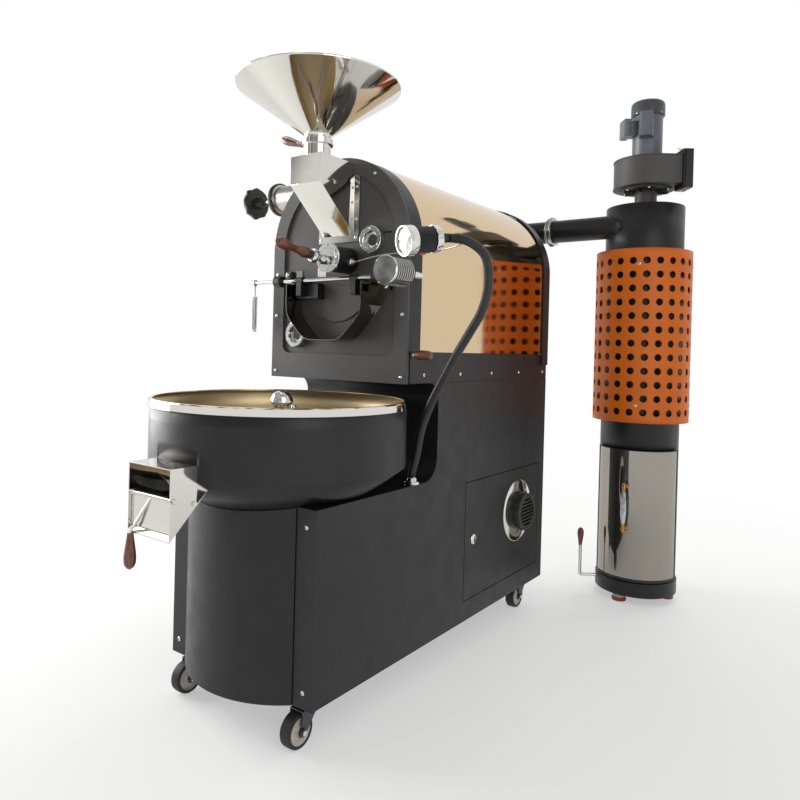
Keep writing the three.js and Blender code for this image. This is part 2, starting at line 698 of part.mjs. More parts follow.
// One castor: the fork turns under its plate and the wheel rolls in the fork
function makeCastors() {
  const top = CASTOR_FACE - CLEARANCE;
  const crown = top - SWIVEL_HEIGHT;
  const inside = WHEEL_WIDTH / 2 + WHEEL_CLEARANCE;
  const outside = inside + FORK_THICKNESS;
  const cheek = new THREE.Shape();
  cheek.moveTo(-CASTOR_TRAIL - WHEEL_CLEARANCE * 4, WHEEL_RADIUS - AXLE_RADIUS * 2);
  cheek.lineTo(-CASTOR_TRAIL + WHEEL_CLEARANCE * 4, WHEEL_RADIUS - AXLE_RADIUS * 2);
  cheek.lineTo(FORK_WIDTH / 2, crown - FORK_THICKNESS);
  cheek.lineTo(FORK_WIDTH / 2, crown);
  cheek.lineTo(-FORK_WIDTH / 2 - CASTOR_TRAIL / 2, crown);
  const full = join(
    pushed(cheek, "x", -outside, outside),
    rod("z", SWIVEL_RADIUS, crown - FORK_THICKNESS, top, 0, 0, SMALL),
    rod("x", AXLE_RADIUS * 2, -outside - AXLE_HEAD, outside + AXLE_HEAD, -CASTOR_TRAIL, WHEEL_RADIUS, SMALL),
  );
  const hollow = join(
    block(-inside, inside, -CASTOR_TRAIL - WHEEL_RADIUS * 2, CASTOR_TRAIL, 0, crown - FORK_THICKNESS),
    rod("x", AXLE_RADIUS, -inside - OVERRUN, inside + OVERRUN, -CASTOR_TRAIL, WHEEL_RADIUS, TINY),
  );
  const axle = rod("x", AXLE_RADIUS, -outside, outside, -CASTOR_TRAIL, WHEEL_RADIUS, TINY);
  const fork = join(cut(full, hollow), axle);
  const half = WHEEL_WIDTH / 2;
  const bore = AXLE_RADIUS + CLEARANCE;
  const shoulder = AXLE_RADIUS;
  const wheel = turned(
    [[bore, -half], [WHEEL_RADIUS - shoulder * 2, shoulder / 2 - half], [WHEEL_RADIUS - shoulder, -half],
      [WHEEL_RADIUS, shoulder - half], [WHEEL_RADIUS, half - shoulder], [WHEEL_RADIUS - shoulder, half],
      [WHEEL_RADIUS - shoulder * 2, half - shoulder / 2], [bore, half], [bore, -half]],
    "x", 0, 0, ROUND);
  castorPlaces.forEach(([name, x, y]) => {
    addPart("castor_fork_" + name, fork, BRUSHED_STEEL).position.set(x, y, 0);
    addPart("castor_wheel_" + name, wheel, TYRE_RUBBER).position.set(x, y - CASTOR_TRAIL, WHEEL_RADIUS);
  });
}

// An arch that stands on a level: a half circle on two straight legs.
function arch(radius, bottom) {
  const outline = new THREE.Shape();
  outline.moveTo(-radius, bottom);
  outline.lineTo(radius, bottom);
  outline.absarc(0, ARCH_CENTRE, radius, 0, Math.PI, false);
  return outline;
}

const hoop = (outer, inner, bottom, from, to) =>
  cut(
    pushed(arch(outer, bottom), "y", from, to, ARCH_STEPS),
    pushed(arch(inner, bottom - OVERRUN), "y", from - OVERRUN, to + OVERRUN, ARCH_STEPS),
  );

// Points along a round stretch of an outline.
function arcPoints(x, y, radius, from, to, steps) {
  return Array.from({ length: steps + 1 }, (_, i) => {
    const angle = from + ((to - from) * i) / steps;
    return [x + radius * Math.cos(angle), y + radius * Math.sin(angle)];
  });
}

// The sunk field of the front plate, with rounded lower corners, grown or drawn in.
function recess(grow) {
  const [half, bottom, corner] = [RECESS_HALF_WIDTH + grow, RECESS_BOTTOM - grow, RECESS_CORNER + grow];
  return outlineOf([
    ...arcPoints(half - corner, bottom + corner, corner, -Math.PI / 2, 0, 3),
    ...arcPoints(0, ARCH_CENTRE, half, 0, Math.PI, ARCH_STEPS),
    ...arcPoints(corner - half, bottom + corner, corner, Math.PI, 1.5 * Math.PI, 3),
  ]);
}

const frameRing = (grow) =>
  cut(
    pushed(arch(HALF_WIDTH, CABINET_TOP), "y", HOUSING_FRONT - grow, RECESS_FACE, ARCH_STEPS),
    pushed(recess(-grow), "y", HOUSING_FRONT - OVERRUN, RECESS_FACE + OVERRUN),
  );

// A round disc cut off by a level: what lies below that level.
function belowLevel(radius, centre, level) {
  const angle = Math.asin((level - centre) / radius);
  const outline = new THREE.Shape();
  outline.absarc(0, centre, radius, angle, Math.PI - angle, true);
  return outline;
}

const trierPlace = (y) => SAMPLER_Z - TRIER_DROP - (y - SAMPLER_FRONT) * Math.tan(degrees(TRIER_TILT));
const trierBore = (radius) =>
  rod("y", radius, -TRIER_REACH, TRIER_REACH, 0, 0, SMALL)
    .rotateX(degrees(-TRIER_TILT))
    .translate(SAMPLER_X, SAMPLER_FRONT, trierPlace(SAMPLER_FRONT));

// Front plate: a frame round a sunk field, with the side band behind it and the openings into the drum
function makeFrontPlate() {
  const field = pushed(arch(HALF_WIDTH, CABINET_TOP), "y", RECESS_FACE, PLATE_BACK, ARCH_STEPS);
  const band = hoop(HALF_WIDTH, HALF_WIDTH - SHEET, BASE_TOP + CLEARANCE, PLATE_BACK - SHEET, BAND_END);
  const [from, to] = [HOUSING_FRONT - OVERRUN, PLATE_BACK + OVERRUN];
  const plate = cut(
    join(frameRing(0), field, band),
    pushed(belowLevel(DISCHARGE_RADIUS, LID_CENTRE, DISCHARGE_TOP), "y", from, to),
    block(-CHUTE_HALF_WIDTH + SHEET, CHUTE_HALF_WIDTH - SHEET, from, to, CHUTE_FOOT + SHEET * 2, CHUTE_NOSE - SHEET),
    rod("y", SIGHT_BORE - SIGHT_CHAMFER, from, to, DRUM_SIGHT_X, DRUM_SIGHT_Z, SMALL),
    rod("y", SIGHT_BORE - SIGHT_CHAMFER, from, to, BURNER_SIGHT_X, BURNER_SIGHT_Z, SMALL),
    trierBore(TRIER_RADIUS + TRIER_BORE_GAP * 4),
  );
  addPart("front_plate", plate, BLACK_PAINT);
}

// Base of the housing: a black skirt with a floor
function makeHousingBase() {
  const [front, rear] = [PLATE_BACK + CLEARANCE, CABINET_DEPTH];
  const outer = block(-HALF_WIDTH, HALF_WIDTH, front, rear, HOUSING_FLOOR, BASE_TOP);
  const inner = block(SHEET - HALF_WIDTH, HALF_WIDTH - SHEET, front - OVERRUN, rear - SHEET,
    HOUSING_FLOOR + SHEET, BASE_TOP + OVERRUN);
  const gas = rod("y", GAS_PIPE_RADIUS + CLEARANCE, rear - OVERRUN, rear + OVERRUN, gasPipeX, GAS_PIPE_HEIGHT, TINY);
  const knob = rod("x", KNOB_ROD_RADIUS + CLEARANCE, HALF_WIDTH - OVERRUN, HALF_WIDTH + OVERRUN, KNOB_Y, KNOB_Z, SMALL);
  addPart("housing_base", cut(outer, inner, gas, knob), BLACK_PAINT);
}

const pipeHole = (from, to) => rod("y", PIPE_RADIUS + CLEARANCE, from, to, 0, PIPE_Z);
const BULKHEAD_FRONT = PLATE_BACK + DRUM_FRONT_GAP + DRUM_LENGTH + BULKHEAD_GAP;
const BULKHEAD_BACK = BULKHEAD_FRONT + BULKHEAD_THICKNESS;
const gasPipeX = -BURNER_SPREAD * 2;

// Polished cover, rear hoop with its plate, and the bulkhead between drum and drive
function makeHousingShell() {
  const legs = BASE_TOP + CLEARANCE;
  const cover = hoop(HALF_WIDTH, HALF_WIDTH - SHEET, legs, BAND_END + CLEARANCE, HOOP_START - CLEARANCE);
  const damper = rod("x", DAMPER_RADIUS + CLEARANCE, -HALF_WIDTH - OVERRUN, 0, DAMPER_Y, DAMPER_Z);
  addPart("housing_cover", cut(cover, damper), MIRROR_STEEL);
  const upper = hoop(HALF_WIDTH + HOOP_PROUD, HALF_WIDTH - SHEET, legs, HOOP_START, CABINET_DEPTH);
  const lower = hoop(HALF_WIDTH + HOOP_PROUD, HALF_WIDTH + CLEARANCE, HOOP_LEG_BOTTOM, HOOP_START, CABINET_DEPTH);
  const plate = pushed(arch(HALF_WIDTH, legs), "y", CABINET_DEPTH - REAR_PLATE_THICKNESS, CABINET_DEPTH, ARCH_STEPS);
  const slots = Array.from({ length: REAR_SLOT_COUNT }, (_, i) => {
    const z = REAR_SLOT_BOTTOM + i * REAR_SLOT_PITCH;
    return block(-REAR_SLOT_WIDTH / 2, REAR_SLOT_WIDTH / 2, CABINET_DEPTH - OVERRUN, CABINET_DEPTH + OVERRUN,
      z, z + REAR_SLOT_HEIGHT);
  });
  const through = pipeHole(CABINET_DEPTH - OVERRUN, CABINET_DEPTH + OVERRUN);
  addPart("rear_plate", cut(join(upper, lower, plate), through, ...slots), BLACK_PAINT);
  const inside = HALF_WIDTH - SHEET - CLEARANCE;
  const bulkhead = cut(
    pushed(arch(inside, legs), "y", BULKHEAD_FRONT, BULKHEAD_BACK, ARCH_STEPS),
    rod("y", DRUM_SHAFT_RADIUS + CLEARANCE * 4, BULKHEAD_FRONT - OVERRUN, BULKHEAD_BACK + OVERRUN, 0, DRUM_CENTRE, FINE),
    pipeHole(BULKHEAD_FRONT - OVERRUN, BULKHEAD_BACK + OVERRUN),
  );
  addPart("bulkhead", bulkhead, BRUSHED_STEEL);
}

// Drum with its vanes and rear shaft, the bearing and the geared motor
function makeDrum() {
  const front = PLATE_BACK + DRUM_FRONT_GAP;
  const back = front + DRUM_LENGTH;
  const bearingBack = BULKHEAD_BACK + CLEARANCE + BEARING_LENGTH;
  const shaftEnd = bearingBack + CLEARANCE * 4;
  const inner = DRUM_RADIUS - DRUM_WALL;
  const shell = turned(
    [[inner, front], [DRUM_RADIUS, front], [DRUM_RADIUS, back], [DRUM_SHAFT_RADIUS, back],
      [DRUM_SHAFT_RADIUS, shaftEnd], [0, shaftEnd], [0, back - DRUM_WALL], [inner, back - DRUM_WALL], [inner, front]],
    "y", 0, DRUM_CENTRE, FINE);
  const vanes = Array.from({ length: VANE_COUNT }, (_, i) =>
    block(-VANE_THICKNESS / 2, VANE_THICKNESS / 2, front + DRUM_WALL, back - DRUM_WALL / 2,
      inner - VANE_HEIGHT, inner + DRUM_WALL / 2)
      .rotateY((2 * Math.PI * (i + 1 / 2)) / VANE_COUNT)
      .translate(0, 0, DRUM_CENTRE),
  );
  addPart("drum", join(shell, ...vanes), CAST_IRON);
  const seat = BULKHEAD_BACK + CLEARANCE;
  const bore = DRUM_SHAFT_RADIUS + CLEARANCE;
  addPart("drum_bearing",
    turned([[bore, seat], [BEARING_RADIUS, seat], [BEARING_RADIUS, seat + BEARING_FLANGE],
      [BEARING_BOSS_RADIUS, seat + BEARING_FLANGE], [BEARING_BOSS_RADIUS, bearingBack], [bore, bearingBack],
      [bore, seat]], "y", 0, DRUM_CENTRE, FINE), CAST_IRON);
  const driveFront = shaftEnd + CLEARANCE;
  const driveBack = driveFront + DRIVE_LENGTH;
  const motorBack = driveBack + MOTOR_LENGTH;
  const bottom = HOUSING_FLOOR + SHEET + CLEARANCE;
  addPart("drum_motor", join(
    turned([[0, driveFront], [DRIVE_RADIUS, driveFront], [DRIVE_RADIUS, driveBack], [MOTOR_RADIUS, driveBack],
      [MOTOR_RADIUS, motorBack - BEARING_FLANGE], [MOTOR_RADIUS - BEARING_FLANGE, motorBack], [0, motorBack]],
    "y", 0, DRUM_CENTRE),
    block(-DRIVE_FOOT_WIDTH / 2, DRIVE_FOOT_WIDTH / 2, driveFront, driveFront + BEARING_FLANGE, bottom, DRUM_CENTRE),
    block(-DRIVE_FOOT_WIDTH / 2, DRIVE_FOOT_WIDTH / 2, driveFront, driveFront + DRIVE_FOOT_LENGTH,
      bottom, bottom + BEARING_FLANGE),
  ), GREY_PAINT);
}

// Burner bars on their manifold, with the gas pipe and its valve
function makeBurner() {
  const end = BURNER_START + BURNER_BAR_LENGTH;
  const pipeEnd = CABINET_DEPTH + GAS_PIPE_OUT;
  const bars = Array.from({ length: BURNER_BAR_COUNT }, (_, i) => {
    const x = (i - (BURNER_BAR_COUNT - 1) / 2) * BURNER_SPREAD;
    return join(
      block(x - BURNER_BAR / 2, x + BURNER_BAR / 2, BURNER_START, end, BURNER_HEIGHT, BURNER_HEIGHT + BURNER_BAR),
      rod("z", GAS_PIPE_RADIUS, GAS_PIPE_HEIGHT, BURNER_HEIGHT + BURNER_BAR / 2, x, end - GAS_PIPE_RADIUS * 2, TINY),
    );
  });
  const span = ((BURNER_BAR_COUNT - 1) / 2) * BURNER_SPREAD + BURNER_BAR / 2;
  const foot = HOUSING_FLOOR + SHEET + CLEARANCE;
  const crossY = end - GAS_PIPE_RADIUS * 2;
  const legs = [-span, span - BURNER_LEG].map((x) =>
    block(x, x + BURNER_LEG, BURNER_START, BURNER_START + BURNER_BAR, foot, BURNER_HEIGHT + BURNER_BAR / 2));
  addPart("burner", join(
    ...bars,
    ...legs,
    block(-span, span, BURNER_START, BURNER_START + BURNER_LEG, BURNER_HEIGHT, BURNER_HEIGHT + BURNER_BAR / 2),
    rod("x", GAS_PIPE_RADIUS, gasPipeX - GAS_PIPE_RADIUS, span, crossY, GAS_PIPE_HEIGHT, TINY),
    rod("y", GAS_PIPE_RADIUS, crossY, pipeEnd, gasPipeX, GAS_PIPE_HEIGHT, TINY),
    block(gasPipeX - VALVE_SIZE / 2, gasPipeX + VALVE_SIZE / 2, VALVE_PLACE, VALVE_PLACE + VALVE_SIZE * 2,
      foot, GAS_PIPE_HEIGHT + VALVE_SIZE / 2),
  ), BRUSHED_STEEL);
}

// Wooden grip of a turned profile: a waist near the ferrule and a round end.
function gripProfile(length, radius, start) {
  const shares = [[0, 0.62], [0.12, 0.7], [0.38, 0.6], [0.68, 1], [0.88, 0.86], [1, 0.35]];
  return [[0, start], ...shares.map(([along, wide]) => [radius * wide, start + length * along]), [0, start + length]];
}

// Hopper with its collar and gate ring, and the slide gate with its handle
function makeHopper() {
  const bore = COLLAR_RADIUS - SHEET;
  const foot = CHUTE_TOP + CLEARANCE;
  const half = GATE_RING_HEIGHT / 2;
  const cone = turned(
    [[bore, foot], [COLLAR_RADIUS, foot], [COLLAR_RADIUS, GATE_HEIGHT - half], [GATE_RING_RADIUS, GATE_HEIGHT - half],
      [GATE_RING_RADIUS, GATE_HEIGHT + half], [COLLAR_RADIUS, GATE_HEIGHT + half], [COLLAR_RADIUS, HOPPER_NECK],
      [HOPPER_RADIUS - HOPPER_BEAD, HOPPER_RIM - HOPPER_BEAD * 2], [HOPPER_RADIUS, HOPPER_RIM - HOPPER_BEAD],
      [HOPPER_RADIUS, HOPPER_RIM], [HOPPER_RADIUS - HOPPER_BEAD, HOPPER_RIM],
      [HOPPER_RADIUS - HOPPER_BEAD * 2, HOPPER_RIM - HOPPER_BEAD], [bore, HOPPER_NECK + HOPPER_SHEET], [bore, foot]],
    "z", 0, HOPPER_Y, FINE);
  const blade = bore - CLEARANCE;
  const slot = block(-GATE_RING_RADIUS - OVERRUN, 0, HOPPER_Y - bore, HOPPER_Y + bore,
    GATE_HEIGHT - GATE_THICKNESS / 2 - CLEARANCE, GATE_HEIGHT + GATE_THICKNESS / 2 + CLEARANCE);
  addPart("hopper", cut(cone, slot), MIRROR_STEEL);
  const [low, high] = [GATE_HEIGHT - GATE_THICKNESS / 2, GATE_HEIGHT + GATE_THICKNESS / 2];
  const plate = join(
    rod("z", blade, low, high, 0, HOPPER_Y),
    block(-GATE_TAIL, 0, HOPPER_Y - blade, HOPPER_Y + blade, low, high),
  );
  const handle = join(
    rod("x", GATE_ROD_RADIUS, -GATE_ROD_RADIUS / 2, GATE_RING_HEIGHT, 0, 0, TINY),
    turned(gripProfile(GATE_HANDLE_LENGTH - GATE_RING_HEIGHT, GATE_HANDLE_RADIUS, GATE_RING_HEIGHT), "x", 0, 0, SMALL),
  );
  const stick = new THREE.BufferGeometry();
  const held = handle.getMesh();
  stick.setAttribute("position", new THREE.BufferAttribute(held.vertProperties, 3));
  stick.setIndex(new THREE.BufferAttribute(held.triVerts, 1));
  stick.rotateY(Math.PI + degrees(GATE_HANDLE_TILT)).translate(-GATE_TAIL, HOPPER_Y, GATE_HEIGHT);
  addPart("slide_gate", join(plate, stick), BRUSHED_STEEL);
}

// Feed chute: a folded box that leads from the collar into the drum, screwed on by its flanges
function makeChute() {
  const slope = (CHUTE_NOSE - CHUTE_FOOT) / (HOUSING_FRONT - CHUTE_FRONT);
  const back = SEAT_FACE;
  const foot = CHUTE_FOOT - (back - HOUSING_FRONT) * slope;
  const outer = pushed(
    outlineOf([[CHUTE_FRONT, CHUTE_TOP], [CHUTE_FRONT, CHUTE_NOSE], [back, foot], [back, CHUTE_TOP]]),
    "x", -CHUTE_HALF_WIDTH, CHUTE_HALF_WIDTH);
  const drop = SHEET * Math.sqrt(1 + slope ** 2);
  const past = back + OVERRUN;
  const inner = pushed(
    outlineOf([[CHUTE_FRONT + SHEET, CHUTE_TOP - SHEET], [CHUTE_FRONT + SHEET, CHUTE_NOSE + drop - SHEET * slope],
      [past, foot - OVERRUN * slope + drop], [past, CHUTE_TOP - SHEET]]),
    "x", SHEET - CHUTE_HALF_WIDTH, CHUTE_HALF_WIDTH - SHEET);
  const wide = CHUTE_HALF_WIDTH + CHUTE_FLANGE;
  const flanges = join(
    block(-wide, wide, back - SHEET, back, foot, CHUTE_FLANGE_TOP),
    block(-CHUTE_HALF_WIDTH, CHUTE_HALF_WIDTH, back - SHEET, back, foot - CHUTE_LIP, foot + SHEET),
  );
  const mouth = rod("z", COLLAR_RADIUS - SHEET, CHUTE_TOP - OVERRUN, CHUTE_TOP + OVERRUN, 0, HOPPER_Y);
  addPart("feed_chute", cut(join(outer, flanges), inner, frameRing(CLEARANCE), mouth), BRUSHED_STEEL);
}

// Sight glasses: a bevelled ring with a glass disc in its bore
function makeSights() {
  const front = RECESS_FACE - SIGHT_PROUD;
  const step = SIGHT_CHAMFER;
  const seat = SIGHT_BORE - CLEARANCE;
  [["drum", DRUM_SIGHT_X, DRUM_SIGHT_Z], ["burner", BURNER_SIGHT_X, BURNER_SIGHT_Z]].forEach(([name, x, z]) => {
    addPart(name + "_sight_ring",
      turned([[SIGHT_BORE - step, SEAT_FACE], [SIGHT_RADIUS, SEAT_FACE], [SIGHT_RADIUS, front + step],
        [SIGHT_RADIUS - step, front], [SIGHT_BORE, front], [SIGHT_BORE, SEAT_FACE - step], [SIGHT_BORE - step, SEAT_FACE - step],
        [SIGHT_BORE - step, SEAT_FACE]], "y", x, z), BRUSHED_STEEL);
    const back = SEAT_FACE - step - CLEARANCE;
    addPart(name + "_sight_glass", rod("y", seat, back - GLASS_THICKNESS, back, x, z), CLEAR_GLASS);
  });
}

// Sampler: a cylinder on the plate with a bored end disc and a probe fitting, and the trier that slides in it
function makeSampler() {
  const face = SAMPLER_FRONT - SAMPLER_FACE_THICKNESS;
  const body = join(
    rod("y", SAMPLER_RADIUS, SAMPLER_FRONT, SEAT_FACE, SAMPLER_X, SAMPLER_Z),
    rod("y", SAMPLER_RADIUS + SAMPLER_FACE_THICKNESS / 2, face, SAMPLER_FRONT, SAMPLER_X, SAMPLER_Z),
    rod("x", PROBE_RADIUS, SAMPLER_X, SAMPLER_X + SAMPLER_RADIUS + PROBE_LENGTH / 2, (SAMPLER_FRONT + SEAT_FACE) / 2,
      SAMPLER_Z, TINY),
    rod("x", PROBE_RADIUS * 1.6, SAMPLER_X, SAMPLER_X + SAMPLER_RADIUS + PROBE_LENGTH / 4,
      (SAMPLER_FRONT + SEAT_FACE) / 2, SAMPLER_Z, 6),
  );
  addPart("sampler_housing", cut(body, trierBore(TRIER_RADIUS + TRIER_BORE_GAP)), BLACK_PAINT);
  const stop = SAMPLER_FACE_THICKNESS / Math.cos(degrees(TRIER_TILT)) + SAMPLER_RADIUS * Math.tan(degrees(TRIER_TILT));
  const ferrule = stop + CLEARANCE;
  const tube = cut(
    join(
      rod("y", TRIER_RADIUS, -ferrule - FERRULE_LENGTH / 2, TRIER_REACH - OVERRUN, 0, 0, SMALL),
      turned([[0, -ferrule - FERRULE_LENGTH], [FERRULE_RADIUS * TRIER_WAIST_SHARE, -ferrule - FERRULE_LENGTH],
        [FERRULE_RADIUS * TRIER_WAIST_SHARE, -ferrule - FERRULE_LENGTH / 3], [FERRULE_RADIUS, -ferrule - FERRULE_LENGTH / 4],
        [FERRULE_RADIUS, -ferrule], [0, -ferrule]], "y", 0, 0, SMALL),
    ),
    rod("y", TRIER_RADIUS - SCOOP_WALL, TRIER_REACH - OVERRUN - SCOOP_LENGTH, TRIER_REACH, 0, 0, SMALL),
    block(-TRIER_RADIUS, TRIER_RADIUS, TRIER_REACH - OVERRUN - SCOOP_LENGTH, TRIER_REACH, 0, TRIER_RADIUS),
  );
  const grip = gripProfile(TRIER_HANDLE_LENGTH - FERRULE_LENGTH, TRIER_HANDLE_RADIUS, ferrule + FERRULE_LENGTH - SHEET);
  const handle = turned(grip.map(([radius, place]) => [radius, -place]), "y", 0, 0, SMALL);
  const trier = addPart("trier", join(tube, handle), BRUSHED_STEEL);
  trier.position.set(SAMPLER_X, SAMPLER_FRONT, trierPlace(SAMPLER_FRONT));
  trier.rotation.x = degrees(-TRIER_TILT);
}

// The coil grip's wire: straight ends one wire thick and turns at a steady pitch between them.
class GripCurve extends THREE.Curve {
  getPoint(t, target = new THREE.Vector3()) {
    const angle = 2 * Math.PI * GRIP_TURNS * t;
    return target.set(
      -SHAFT_LEFT + GRIP_RADIUS * Math.cos(angle),
      SHAFT_Y + GRIP_RADIUS * Math.sin(angle),
      GRIP_TOP - GRIP_WIRE - GRIP_PITCH * GRIP_TURNS * t,
    );
  }
}

// Wire of the grip as one closed tube of five sides, with rings worked out from the turn's own direction.
function gripCoil() {
  const curve = new GripCurve();
  const [perTurn, sides] = [8, 5];
  const rings = GRIP_TURNS * perTurn;
  const centres = [];
  const points = [];
  const lead = 2 * GRIP_WIRE;
  const spotAt = (k) => {
    if (k < 0) return curve.getPoint(0).add(new THREE.Vector3(0, -lead, 0));
    if (k > rings) return curve.getPoint(1).add(new THREE.Vector3(0, lead, 0));
    return curve.getPoint(k / rings);
  };
  for (let k = -1; k <= rings + 1; k++) {
    const centre = spotAt(k);
    centres.push(centre);
    const angle = (2 * Math.PI * Math.min(Math.max(k, 0), rings)) / perTurn;
    const out = new THREE.Vector3(Math.cos(angle), Math.sin(angle), 0);
    const up = new THREE.Vector3(0, 0, 1);
    for (let s = 0; s < sides; s++) {
      const turn = (2 * Math.PI * s) / sides;
      const offset = out.clone().multiplyScalar(Math.cos(turn)).addScaledVector(up, Math.sin(turn));
      points.push(centre.clone().addScaledVector(offset, GRIP_WIRE));
    }
  }
  const faces = [];
  const last = centres.length - 1;
  for (let k = 0; k < last; k++) {
    for (let s = 0; s < sides; s++) {
      const [a, b] = [k * sides + s, k * sides + ((s + 1) % sides)];
      faces.push(a, a + sides, b, b, a + sides, b + sides);
    }
  }
  for (let s = 1; s < sides - 1; s++) {
    faces.push(0, s, s + 1);
    faces.push(last * sides, last * sides + s + 1, last * sides + s);
  }
  let least = Infinity;
  for (let i = 0; i < centres.length; i++) {
    for (let j = i + perTurn / 2; j < centres.length; j++) {
      least = Math.min(least, centres[i].distanceTo(centres[j]) - 2 * GRIP_WIRE);
    }
  }
  console.log("least gap between the grip's turns: " + least.toFixed(2) + " mm");
  const geometry = new THREE.BufferGeometry().setFromPoints(points);
  geometry.setIndex(faces);
  return geometry;
}

// Discharge shaft with its arms and lever, the lid, the coil grip and the finned counterweight
function makeDischarge() {
  const lidFront = SEAT_FACE - LID_THICKNESS;
  const armBack = lidFront - CLEARANCE;
  const arms = [-ARM_SPACING, ARM_SPACING].map((x) =>
    cut(
      block(x - ARM_WIDTH / 2, x + ARM_WIDTH / 2, SHAFT_Y - ARM_HEAD, armBack, SHAFT_Z - ARM_HEIGHT, SHAFT_Z + ARM_HEAD),
      rod("x", ARM_HOLE_RADIUS, x - ARM_WIDTH, x + ARM_WIDTH, (SHAFT_Y + armBack) / 2 + ARM_HOLE_RADIUS,
        SHAFT_Z - ARM_HEIGHT / 2, TINY),
    ));
  const shaftEnd = WEIGHT_X - WEIGHT_STUB_RADIUS - CLEARANCE;
  const shaft = join(
    rod("x", SHAFT_RADIUS, -SHAFT_LEFT, shaftEnd, SHAFT_Y, SHAFT_Z, SMALL),
    rod("z", LEVER_RADIUS, LEVER_BOTTOM, SHAFT_Z + SHAFT_RADIUS, -SHAFT_LEFT, SHAFT_Y, TINY),
    rod("z", LEVER_CAP_RADIUS, LEVER_BOTTOM - LEVER_CAP_HEIGHT, LEVER_BOTTOM, -SHAFT_LEFT, SHAFT_Y, SMALL),
    rod("x", LEVER_CAP_RADIUS, -SHAFT_LEFT - LEVER_CAP_HEIGHT, LEVER_CAP_HEIGHT - SHAFT_LEFT, SHAFT_Y, SHAFT_Z, SMALL),
    ...arms,
  );
  addPart("door_shaft", shaft, BRUSHED_STEEL);
  addPart("discharge_door", pushed(belowLevel(LID_RADIUS, LID_CENTRE, LID_TOP), "y", lidFront, SEAT_FACE), BLACK_PAINT);
  addPart("lever_grip", gripCoil(), BRUSHED_STEEL);
  const step = WEIGHT_LENGTH / (2 * WEIGHT_FIN_COUNT - 1);
  const fins = [];
  for (let i = 0; i < WEIGHT_FIN_COUNT; i++) {
    const place = WEIGHT_FRONT + 2 * i * step;
    const radius = i === 0 || i === WEIGHT_FIN_COUNT - 1 ? WEIGHT_RADIUS - step / 4 : WEIGHT_RADIUS;
    fins.push([radius, place], [radius, place + step]);
    if (i < WEIGHT_FIN_COUNT - 1) fins.push([WEIGHT_CORE, place + step], [WEIGHT_CORE, place + 2 * step]);
  }
  addPart("counterweight",
    turned([[0, WEIGHT_FRONT], ...fins, [WEIGHT_STUB_RADIUS, WEIGHT_FRONT + WEIGHT_LENGTH],
      [WEIGHT_STUB_RADIUS, WEIGHT_STUB_END], [0, WEIGHT_STUB_END]], "y", WEIGHT_X, SHAFT_Z), BRUSHED_STEEL);
}

// Discharge trough: a folded gutter under the lid, whose ears carry the shaft's brackets
function makeTrough() {
  const half = TROUGH_HALF_WIDTH;
  const lean = TROUGH_SHEET * Math.tan(degrees(22.5));
  const inner = half - TROUGH_SHEET;
  const floor = TROUGH_FLOOR + TROUGH_SHEET;
  const gutter = pushed(
    outlineOf([[-half, TROUGH_TOP], [-half, TROUGH_KNEE], [-TROUGH_FLOOR_HALF, TROUGH_FLOOR],
      [TROUGH_FLOOR_HALF, TROUGH_FLOOR], [half, TROUGH_KNEE], [half, TROUGH_TOP], [inner, TROUGH_TOP],
      [inner, TROUGH_KNEE + lean], [TROUGH_FLOOR_HALF - lean, floor], [lean - TROUGH_FLOOR_HALF, floor],
      [-inner, TROUGH_KNEE + lean], [-inner, TROUGH_TOP]]),
    "y", TROUGH_LIP, SEAT_FACE);
  const ears = [[-EAR_LEFT, -inner, EAR_LEFT_TOP], [inner, EAR_RIGHT, EAR_RIGHT_TOP]].map(([x0, x1, top]) =>
    block(x0, x1, SEAT_FACE - TROUGH_SHEET, SEAT_FACE, EAR_BOTTOM, top));
  const brackets = [BRACKET_INSET - EAR_LEFT, EAR_RIGHT - BRACKET_INSET - BRACKET_THICKNESS].map((x) =>
    block(x, x + BRACKET_THICKNESS, SHAFT_Y - BRACKET_HALF_HEIGHT, SEAT_FACE,
      SHAFT_Z - BRACKET_HALF_HEIGHT, SHAFT_Z + BRACKET_HALF_HEIGHT));
  const bore = turningHole("x", SHAFT_RADIUS, -EAR_LEFT - OVERRUN, EAR_RIGHT + OVERRUN, SHAFT_Y, SHAFT_Z, SMALL);
  addPart("discharge_trough", cut(join(gutter, ...ears, ...brackets), bore), BRUSHED_STEEL);
}

